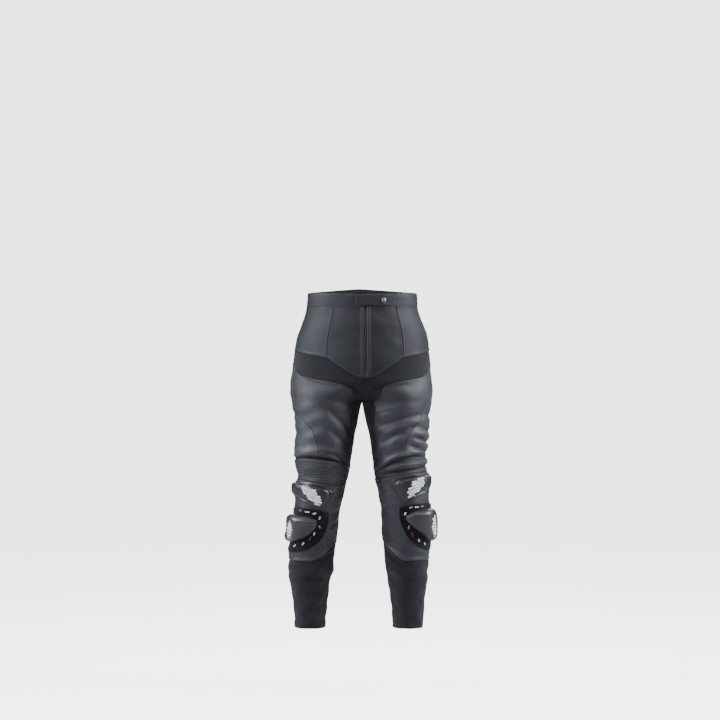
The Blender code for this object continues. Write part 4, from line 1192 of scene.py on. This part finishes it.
def loopPatch(side):
    # Cut pile inside a flat sewn border.
    form, outline = stackForm["patch"], loopPatchOutlines[side]
    u, v, square, place, normal = overlayGrid(side, outline, 61, 51, form["power"])
    rim = rimDistance(place)
    edge = ease(rim / patchForm["round"])
    pile = patchForm["pile"] * rng.standard_normal(rim.shape) * ease((rim - 0.0035) / 0.002)
    lift = form["gap"] + form["edge"] * edge + pile
    lift = lift + patchForm["bead"] * (1 - ease((rim - patchForm["border"]) / 0.001)) * edge
    outer, inner = place + normal * lift[..., None], place - normal * 0.0004
    ringStitches(side, outline, form["power"], patchForm["stitch"], form["gap"] + form["edge"])
    piece = wall(f"loop_pad_{side}", outer, inner, [loopPile], None, cutMap(place))
    finish(piece, [f"loop_patch_{side}"])


def kneeSlider(side):
    # A block with four facets: the lowest of a ramp, an upper, a lower and an outer slope.
    form, shape = stackForm["slider"], sliderForm
    u, v, square, place, normal = overlayGrid(side, sliderOutlines[side], 81, 65, form["power"])
    rim = rimDistance(place)
    ramp = shape["low"] + (1 - shape["low"]) * (u + 1.0) / shape["brow"]
    ridge = shape["ridge"] - shape["ridgeTurn"] * np.clip(0.10 - u, 0, 0.7)
    upper = ramp - shape["upper"] * np.maximum(v - ridge, 0)
    lower = 1.06 - shape["lower"] * np.maximum(-v - 0.35, 0)
    outward = 1.0 - shape["outer"] * np.maximum(u + 0.06, 0)
    facets = np.stack([np.minimum(ramp, upper), lower, outward])
    # Soft minimum, so that the ridges are a little rounded.
    crown = -np.log(np.exp(-facets * shape["crisp"]).sum(axis=0)) / shape["crisp"]
    lift = form["gap"] + form["edge"] * ease(rim / 0.0012)
    lift = lift + form["dome"] * (1 - square**9) * np.clip(crown, 0.08, 1)
    outer, inner = place + normal * lift[..., None], place + normal * (form["gap"] - shape["sunk"])
    # Painted highlights along the ridges and the rim; elsewhere the shell is painted a little
    # darker.
    crest = bell(v - ridge, 0.045) * (u < 0.15) + bell(u + 0.08, 0.035) * (v < ridge)
    wearAndPaintedLight = 1.2 * crest * ease((0.95 - square) / 0.1) + 0.7 * bell(square - 0.90, 0.05) - 0.5
    piece = wall(f"knee_slider_{side}", outer, inner, [sliderShell], wearAndPaintedLight)
    finish(piece, [f"slider_{side}"])


for side in sideSign:
    loopPatch(side)
    kneeSlider(side)
print("pads: loop patches and sliders")


cupSim = {"voxel": 0.004, "pressure": 4.0, "frames": 20, "cap": 0.004, "core": 0.85, "shift": 0.03}


def blowUp(piece):
    # The cloth solver blows the closed pad up a little, then one subdivision smooths it.
    piece.modifiers.new("even", "REMESH").voxel_size = cupSim["voxel"]
    scene = bpy.context.scene
    made = evaluated(piece)
    rest = np.zeros(len(made.vertices) * 3)
    made.vertices.foreach_get("co", rest)
    rest = rest.reshape(-1, 3)
    cloth = piece.modifiers.new("blow", "CLOTH").settings
    cloth.use_pressure = True
    cloth.uniform_pressure_force = cupSim["pressure"]
    cloth.effector_weights.gravity = 0
    for number in range(1, cupSim["frames"] + 1):
        scene.frame_set(number)
    blown = piece.evaluated_get(bpy.context.evaluated_depsgraph_get()).to_mesh()
    moved = np.zeros(len(rest) * 3)
    blown.vertices.foreach_get("co", moved)
    scene.frame_set(1)
    piece.modifiers.clear()
    step = moved.reshape(-1, 3) - rest
    far = np.linalg.norm(step, axis=1, keepdims=True)
    rest = rest + step * np.minimum(1, cupSim["cap"] / np.maximum(far, 1e-9))
    made.vertices.foreach_set("co", rest.ravel())
    smooth = piece.modifiers.new("round", "SUBSURF")
    smooth.levels = smooth.render_levels = 1
    final = evaluated(piece)
    final.materials.clear()
    final.materials.append(cupLeather)
    final.shade_smooth()


printForm = {"step": 0.02, "proud": 0.00025, "thick": 0.0003}


def platesOn(name, side, outline, host, plates, lift):
    # Small flat prints: corners in metres about a spot of the outline, laid onto the host.
    verts, faces, slots = [], [], []
    for ink, (a, b), corners in plates:
        place, normal = onOutline(side, outline, a + np.array([0, printForm["step"], 0]),
                                  b + np.array([0, 0, printForm["step"]]))
        along, up = unit(place[1] - place[0]), place[2] - place[0]
        up = unit(up - along * (up @ along))
        base = sum(len(v) for v in verts)
        verts.append(place[0] + normal[0] * lift + corners[:, :1] * along + corners[:, 1:] * up)
        faces.append(list(range(base, base + len(corners))))
        slots.append(ink)
    made = clothObject(name, np.concatenate(verts), faces, printInks, np.array(slots), sharp=30)
    wrap = made.modifiers.new("wrap", "SHRINKWRAP")
    wrap.target, wrap.offset = bpy.data.objects[host], printForm["proud"]
    wrap.wrap_method, wrap.wrap_mode = "PROJECT", "ABOVE_SURFACE"
    wrap.use_negative_direction = wrap.use_positive_direction = True
    thick = made.modifiers.new("ink", "SOLIDIFY")
    thick.thickness, thick.offset = printForm["thick"], 1.0
    normalsOut(evaluated(made))
    return finish(made, [])


def turned(points, way):
    # The points turned about the origin by an angle.
    return points @ np.array([[math.cos(way), math.sin(way)], [-math.sin(way), math.cos(way)]])


def honeycomb(centre, size, way, half, cell):
    # Hexagons of one size on a triangular lattice, kept inside a turned ellipse.
    reach = int(max(half) / cell) + 2
    i, j = np.meshgrid(np.arange(-reach, reach + 1), np.arange(-reach, reach + 1))
    spots = np.stack([(i + 0.5 * (j % 2)).ravel() * cell * 1.16, j.ravel() * cell], 1)
    kept = ((turned(spots, -way) / np.array(half)) ** 2).sum(1) < 1
    corner = np.arange(6) * math.pi / 3 + math.pi / 6
    ring = np.stack([np.cos(corner), np.sin(corner)], 1) * cell * 0.60
    return [(0, spot / np.array(size) + centre, ring) for spot in spots[kept]]


dashForm = {"wide": 0.0024, "tall": 0.0042, "pitch": 0.0034}


def dashes(a, b, way, ink, count):
    # A short row of small blocks about one spot.
    box = np.array([(-0.5, -0.5), (0.5, -0.5), (0.5, 0.5), (-0.5, 0.5)])
    box = box * (dashForm["wide"], dashForm["tall"])
    shift = (np.arange(count) - (count - 1) / 2) * dashForm["pitch"]
    return [(ink, (a, b), turned(box + (step, 0), way)) for step in shift]


# Honeycombs: middle on the outline, the outline's half size, way, half axes and cell in metres.
cupPrints = {
    "right": ((-0.28, 0.00), (0.105, 0.031), 0.50, (0.034, 0.0155), 0.0064),
    "left": ((-0.14, -0.02), (0.098, 0.033), 0.55, (0.033, 0.0155), 0.0064),
}
facePrints = {
    "right": ((0.13, -0.04), (0.105, 0.039), 1.50, (0.028, 0.0165), 0.0066),
    "left": ((0.17, -0.04), (0.105, 0.041), 1.62, (0.028, 0.0165), 0.0066),
}
# Plain dashes on the loop patch round the slider: place on the patch, way, ink and count.
dashRows = {
    "right": (
        (0.15, 0.88, 0.0, 1, 3), (-0.14, 0.86, -0.1, 0, 4), (-0.42, 0.82, -0.2, 0, 3),
        (-0.62, 0.58, -1.2, 0, 3), (-0.64, 0.02, 1.57, 1, 3), (-0.46, -0.24, -0.9, 0, 3),
        (-0.34, -0.44, -0.8, 2, 4), (-0.12, -0.64, -0.7, 0, 3), (0.22, -0.72, -0.5, 0, 3),
    ),
    "left": (
        (-0.52, 0.86, 0.1, 1, 3), (-0.28, 0.87, 0.0, 0, 4), (-0.02, 0.88, 0.0, 1, 3),
        (-0.76, 0.42, -1.4, 0, 3), (-0.62, -0.28, -1.1, 1, 3), (-0.48, -0.56, -0.9, 2, 4),
        (-0.22, -0.71, -0.8, 0, 3), (0.08, -0.76, -0.6, 0, 3),
    ),
}
# How far above the skin each kind of print starts before it is laid down.
printLift = {"cup": 0.018, "face": 0.026, "marks": 0.004}
borderForm = {
    "height": 0.0028, "round": 0.0010, "groove": 0.0010, "inset": 0.0070, "rows": (0.975, 0.925),
}


def kneeCup(side):
    # A padded cup that leans out and up, blown up a little.
    form = stackForm["cup"]
    u, v, square, place, normal = overlayGrid(side, kneeCupOutlines[side], 49, 37, form["power"])
    core = cupSim["core"]
    place, normal = onOutline(side, kneeCupOutlines[side], u * core + cupSim["shift"], v * core)
    slope = 0.80 + 0.20 * v + 0.10 * np.clip(u, -1, 0.6)
    rise = form["dome"] * 0.90 * (1 - square**5) ** 0.7 * slope
    outer = place + normal * (form["gap"] + form["edge"] * 0.5 + rise)[..., None]
    piece = wall(f"knee_cup_{side}_pad", outer, place + normal * form["gap"], [cupLeather])
    blowUp(piece)
    finish(piece, [f"knee_cup_{side}"])


def cupBorder(side):
    # The sewn border of the cup lies flat on the leg, all round the pad.
    form, outline = stackForm["cup"], kneeCupOutlines[side]
    u, v, square, place, normal = overlayGrid(side, outline, 97, 65, form["power"])
    rim = rimDistance(place)
    inset = rim - borderForm["inset"]
    height = borderForm["height"] * ease(rim / borderForm["round"])
    height = height - borderForm["groove"] * bell(inset, 0.0012)
    outer = place + normal * (form["gap"] + height)[..., None]
    # Painted highlight along the rounded rim and painted shade in the sewn groove.
    wearAndPaintedLight = 0.9 * bell(rim - 0.0015, 0.0015) - 0.6 * bell(inset, 0.002)
    piece = wall(f"knee_cup_{side}_border", outer, place + normal * form["gap"], [cupLeather], wearAndPaintedLight)
    finish(piece, [])
    for share in borderForm["rows"]:
        ringStitches(side, outline, form["power"], share, form["gap"] + 0.0027)


for side in sideSign:
    kneeCup(side)
    cupBorder(side)
    marks = [plate for row in dashRows[side] for plate in dashes(*row)]
    platesOn(f"knee_cup_{side}_print", side, kneeCupOutlines[side], f"knee_cup_{side}_pad",
             honeycomb(*cupPrints[side]), printLift["cup"])
    platesOn(f"knee_slider_{side}_print", side, sliderOutlines[side], f"knee_slider_{side}",
             honeycomb(*facePrints[side]), printLift["face"])
    platesOn(f"knee_slider_{side}_marks", side, loopPatchOutlines[side], f"loop_pad_{side}",
             marks, printLift["marks"])
print("cups, borders and prints")


# ---- waist

band = {
    "height": 0.036, "thick": 0.0028, "lift": 0.0004, "start": 0.012, "rows": 23, "steps": 340,
    "stitch": 0.0030,
}
s = np.linspace(band["start"], 1.0, band["steps"] // 2)
share = np.linspace(0, 1, band["rows"])[:, None]
halves = []
for side in ("right", "left"):
    foot = smoothCurve(s, waistLine)[None] - 0.0008
    z = foot + share * band["height"]
    ring = np.broadcast_to(s, z.shape)
    roll = 0.0009 * (1 - share**12) * (1 - (1 - share) ** 12)
    halves.append([skin(side, ring, z, lift)
                   for lift in (band["lift"] + roll - 0.0006, band["lift"] - band["thick"])])
outer, inner = (
    np.concatenate([halves[0][k], halves[1][k][:, ::-1][:, 1:]], axis=1) for k in (0, 1)
)
down, up = arcs(outer, 0)
wearAndPaintedLight = np.clip(bell(down, 0.004) + bell(up, 0.004), 0, 1) * 0.6
piece = wall("waist_strip", outer, inner, [trunkLeatherPaintedShade, liningMesh], wearAndPaintedLight, cutMap(outer))
finish(piece, ["waistband"])
facing = gridNormal(outer, outer - inner)
for d in (down, up):
    path = lineAt(outer, d, 0, band["stitch"])
    allStitches["right"].append(stitchPlaces(path, lineAt(facing, d, 0, band["stitch"])))

form = stackForm["tab"]
u, v, square, place, normal = overlayGrid("left", tabOutline, 71, 25, form["power"])
rim = rimDistance(place)
lift = form["gap"] + form["edge"] * ease(rim / 0.0012 + 0.15)
outer, inner = place + normal * lift[..., None], place + normal * form["gap"]
wearAndPaintedLight = 0.7 * bell(rim, 0.003)
piece = wall("waist_tab_cloth", outer, inner, [trunkLeatherPaintedShade, liningMesh], wearAndPaintedLight, cutMap(place))
finish(piece, ["waist_tab"])

snapForm = {"radius": 0.0075, "base": 0.0038, "thick": 0.0030}
ring, height = (np.array([value]) for value in snapPlace)
spot, away = skin("left", ring, height)[0], skinNormal("left", ring, height)[0]
sideWay = unit(np.cross(away, (0, 0, 1)))
upWay = np.cross(sideWay, away)
# The button is a profile of radius and height turned about its axis.
profile = np.array([
    (0.001, 0), (1.0, 0.0), (1.0, 0.45), (0.96, 0.62), (0.86, 0.72), (0.74, 0.66), (0.66, 0.62),
    (0.60, 0.72), (0.45, 0.86), (0.25, 0.95), (0.001, 0.98),
])[..., None, None]
turn = np.linspace(0, 2 * math.pi, 48, endpoint=False)[:, None]
flat = (np.cos(turn) * sideWay + np.sin(turn) * upWay) * snapForm["radius"]
verts = spot + away * (snapForm["base"] + profile[:, 1] * snapForm["thick"]) + profile[:, 0] * flat
index, faces = ringFaces(*verts.shape[:2])
faces = faces.tolist() + [index[0, ::-1].tolist(), index[-1].tolist()]
piece = clothObject("snap_button", verts.reshape(-1, 3), faces, [snapMetal], sharp=35)
normalsOut(piece.data)
finish(piece, ["snap"])

# ---- zip: tape behind the fly, and two rows of teeth on it

tape = {"half": 0.014, "depth": 0.0028, "thick": 0.0012, "drop": 0.001}
z = np.linspace(-tape["drop"], -0.192, 120)[:, None]
strips = []
for side in ("right", "left"):
    halfRing = smoothCurve(z, trunkSections, 1 if side == "right" else 2) * math.pi
    ring = np.linspace(1, 0, 9)[None, :] * tape["half"] / halfRing
    ring, height = np.broadcast_arrays(ring, z)
    strips.append((skin(side, ring, height), skinNormal(side, ring, height)))
place, normal = (
    np.concatenate([strips[0][k][:, :-1], strips[1][k][:, ::-1]], axis=1) for k in (0, 1)
)
outer, inner = place - normal * tape["depth"], place - normal * (tape["depth"] + tape["thick"])
piece = wall("zip_tape", outer, inner, [tapeKnit], None, cutMap(place))
finish(piece, ["zip"])

teeth = {"pitch": 0.0030, "reach": 0.0026, "tall": 0.0016, "deep": 0.0012}
middle = outer[:, outer.shape[1] // 2]
length = lengthAlong(middle)
at = np.arange(0.003, length[-1] - 0.001, teeth["pitch"] / 2)
spots = readAt(at, length, middle)
box = np.array([(x, y, zz) for x in (0.0, 1.0) for y in (-1.0, 0.0) for zz in (-0.5, 0.5)])
swing = np.where(np.arange(len(at)) % 2 == 0, 1.0, -1.0)[:, None]
offset = (box[None, :, 0] * teeth["reach"] - 0.0005) * swing
rise = box[None, :, 2] * teeth["tall"] * (1 - 0.25 * box[None, :, 0])
verts = np.stack([spots[:, :1] + offset, spots[:, 1:2] + box[None, :, 1] * teeth["deep"],
                  spots[:, 2:] + rise], -1)
quads = np.array([
    (0, 1, 3, 2), (4, 6, 7, 5), (0, 4, 5, 1), (2, 3, 7, 6), (0, 2, 6, 4), (1, 5, 7, 3),
])
faces = []
for k, way in enumerate(swing[:, 0]):
    faces.append((quads if way > 0 else quads[:, ::-1]) + 8 * k)
piece = clothObject("zip_teeth", verts.reshape(-1, 3), np.concatenate(faces), [toothMetal])
finish(piece, [])
print("waist: strip, tab, snap, tape and teeth")

for side in sideSign:
    places = np.concatenate(allStitches[side])
    finish(stitchMesh(f"stitching_{side}", places, thread), [])
    print(f"stitching {side}: {len(places)} stitches")


# ---- stage, light and camera

stageColour = (1.0, 1.0, 1.0)
stageLight = {"world": 3.4, "near": 4.3, "far": 3.2}


def makeStage():
    # A wide pale floor whose far part glows with the world's own tone, so no edge shows; nearer the
    # middle it glows brighter, a painted pool of light.
    angle = np.linspace(0, 2 * math.pi, 64, endpoint=False)[None]
    radius = np.array([0.6, 1.2, 2.0, 4.0, 12.0, 60.0])[:, None]
    x, y = np.cos(angle) * radius, np.sin(angle) * radius
    verts = np.stack([x, y, 0 * x - 1.07], -1)
    index, faces = ringFaces(*verts.shape[:2])
    faces = faces[:, ::-1].tolist() + [index[0].tolist()]
    made, tree, shader = newMaterial("studio floor", 0.75, specular=0.2)
    place = addNode(tree, "TexCoord").outputs["Object"]
    far = addNode(tree, "VectorMath", {0: place}, operation="LENGTH").outputs["Value"]
    share = mapRange(tree, far, 1.5, 9.0, interpolation_type="SMOOTHSTEP")
    grain = noise(tree, place, 40.0, 3.0)
    paint = mixColour(tree, grain, (0.40, 0.40, 0.41, 1), (0.44, 0.44, 0.45, 1))
    plug(tree, shader.inputs["Base Color"], paint)
    # Painted pool of light: the glow the camera sees is strongest near the middle.
    tone = mapRange(tree, far, 0.3, 3.0, stageLight["far"], stageLight["near"])
    seen = addNode(tree, "LightPath").outputs["Is Camera Ray"]
    glows = [doMath(tree, "MULTIPLY", glow, seen) for glow in (tone, stageLight["world"])]
    near, plain = (
        addNode(tree, "Emission", {"Color": (*stageColour, 1), "Strength": glow}) for glow in glows
    )
    lit = addNode(tree, "AddShader", {0: shader.outputs[0], 1: near.outputs[0]})
    both = addNode(tree, "MixShader", {0: share, 1: lit.outputs[0], 2: plain.outputs[0]})
    plug(tree, tree.nodes["Material Output"].inputs[0], both.outputs[0])
    floor = clothObject("floor", verts.reshape(-1, 3), faces, [made])


def makeWorld(strength):
    world = bpy.data.worlds.new("pale studio")
    bpy.context.scene.world = world
    world.use_nodes = True
    tree = world.node_tree
    seen = tree.nodes["Background"]
    seen.inputs[0].default_value = (*stageColour, 1)
    seen.inputs[1].default_value = stageLight["world"]
    lit = addNode(tree, "Background", {0: (0.90, 0.94, 1.0, 1), 1: strength})
    path = addNode(tree, "LightPath")
    values = {0: path.outputs["Is Camera Ray"], 1: lit.outputs[0], 2: seen.outputs[0]}
    both = addNode(tree, "MixShader", values)
    tree.links.new(both.outputs[0], tree.nodes["World Output"].inputs[0])


def softLight(name, place, target, size, power):
    lamp = bpy.data.lights.new(name, "AREA")
    lamp.shape = "RECTANGLE"
    lamp.size, lamp.size_y = size
    lamp.energy = power
    lamp.color = coolTone
    made = bpy.data.objects.new(name, lamp)
    made.location = place
    way = Vector(np.array(target) - np.array(place))
    made.rotation_euler = way.to_track_quat("-Z", "Y").to_euler()
    bpy.context.scene.collection.objects.link(made)


makeStage()
makeWorld(0.17)
coolTone = (0.905, 0.94, 1.0)
# Lights: place, the height of the spot looked at, width and height, power.
lights = {
    "leftBox": ((-2.6, -0.6, 1.0), -0.35, (1.1, 2.2), 165),
    "rightBox": ((2.6, -0.3, 1.1), -0.35, (1.1, 2.2), 200),
    "front": ((-1.2, -4.0, 1.2), -0.45, (1.8, 1.4), 48),
    "top": ((0, -0.3, 2.6), -0.4, (2.2, 2.0), 30),
    "behind": ((0.3, 3.2, 1.4), -0.4, (2.6, 1.6), 60),
}
for name, (place, height, size, power) in lights.items():
    softLight(name, place, (0, 0, height), size, power)

camera = bpy.data.objects.new("camera", bpy.data.cameras.new("camera"))
camera.data.sensor_width = 36
camera.data.lens = 89.3
camera.location = (-0.0056, -5.0, -0.1456)
camera.rotation_euler = (math.pi / 2, 0, 0)
bpy.context.scene.collection.objects.link(camera)
bpy.context.scene.camera = camera
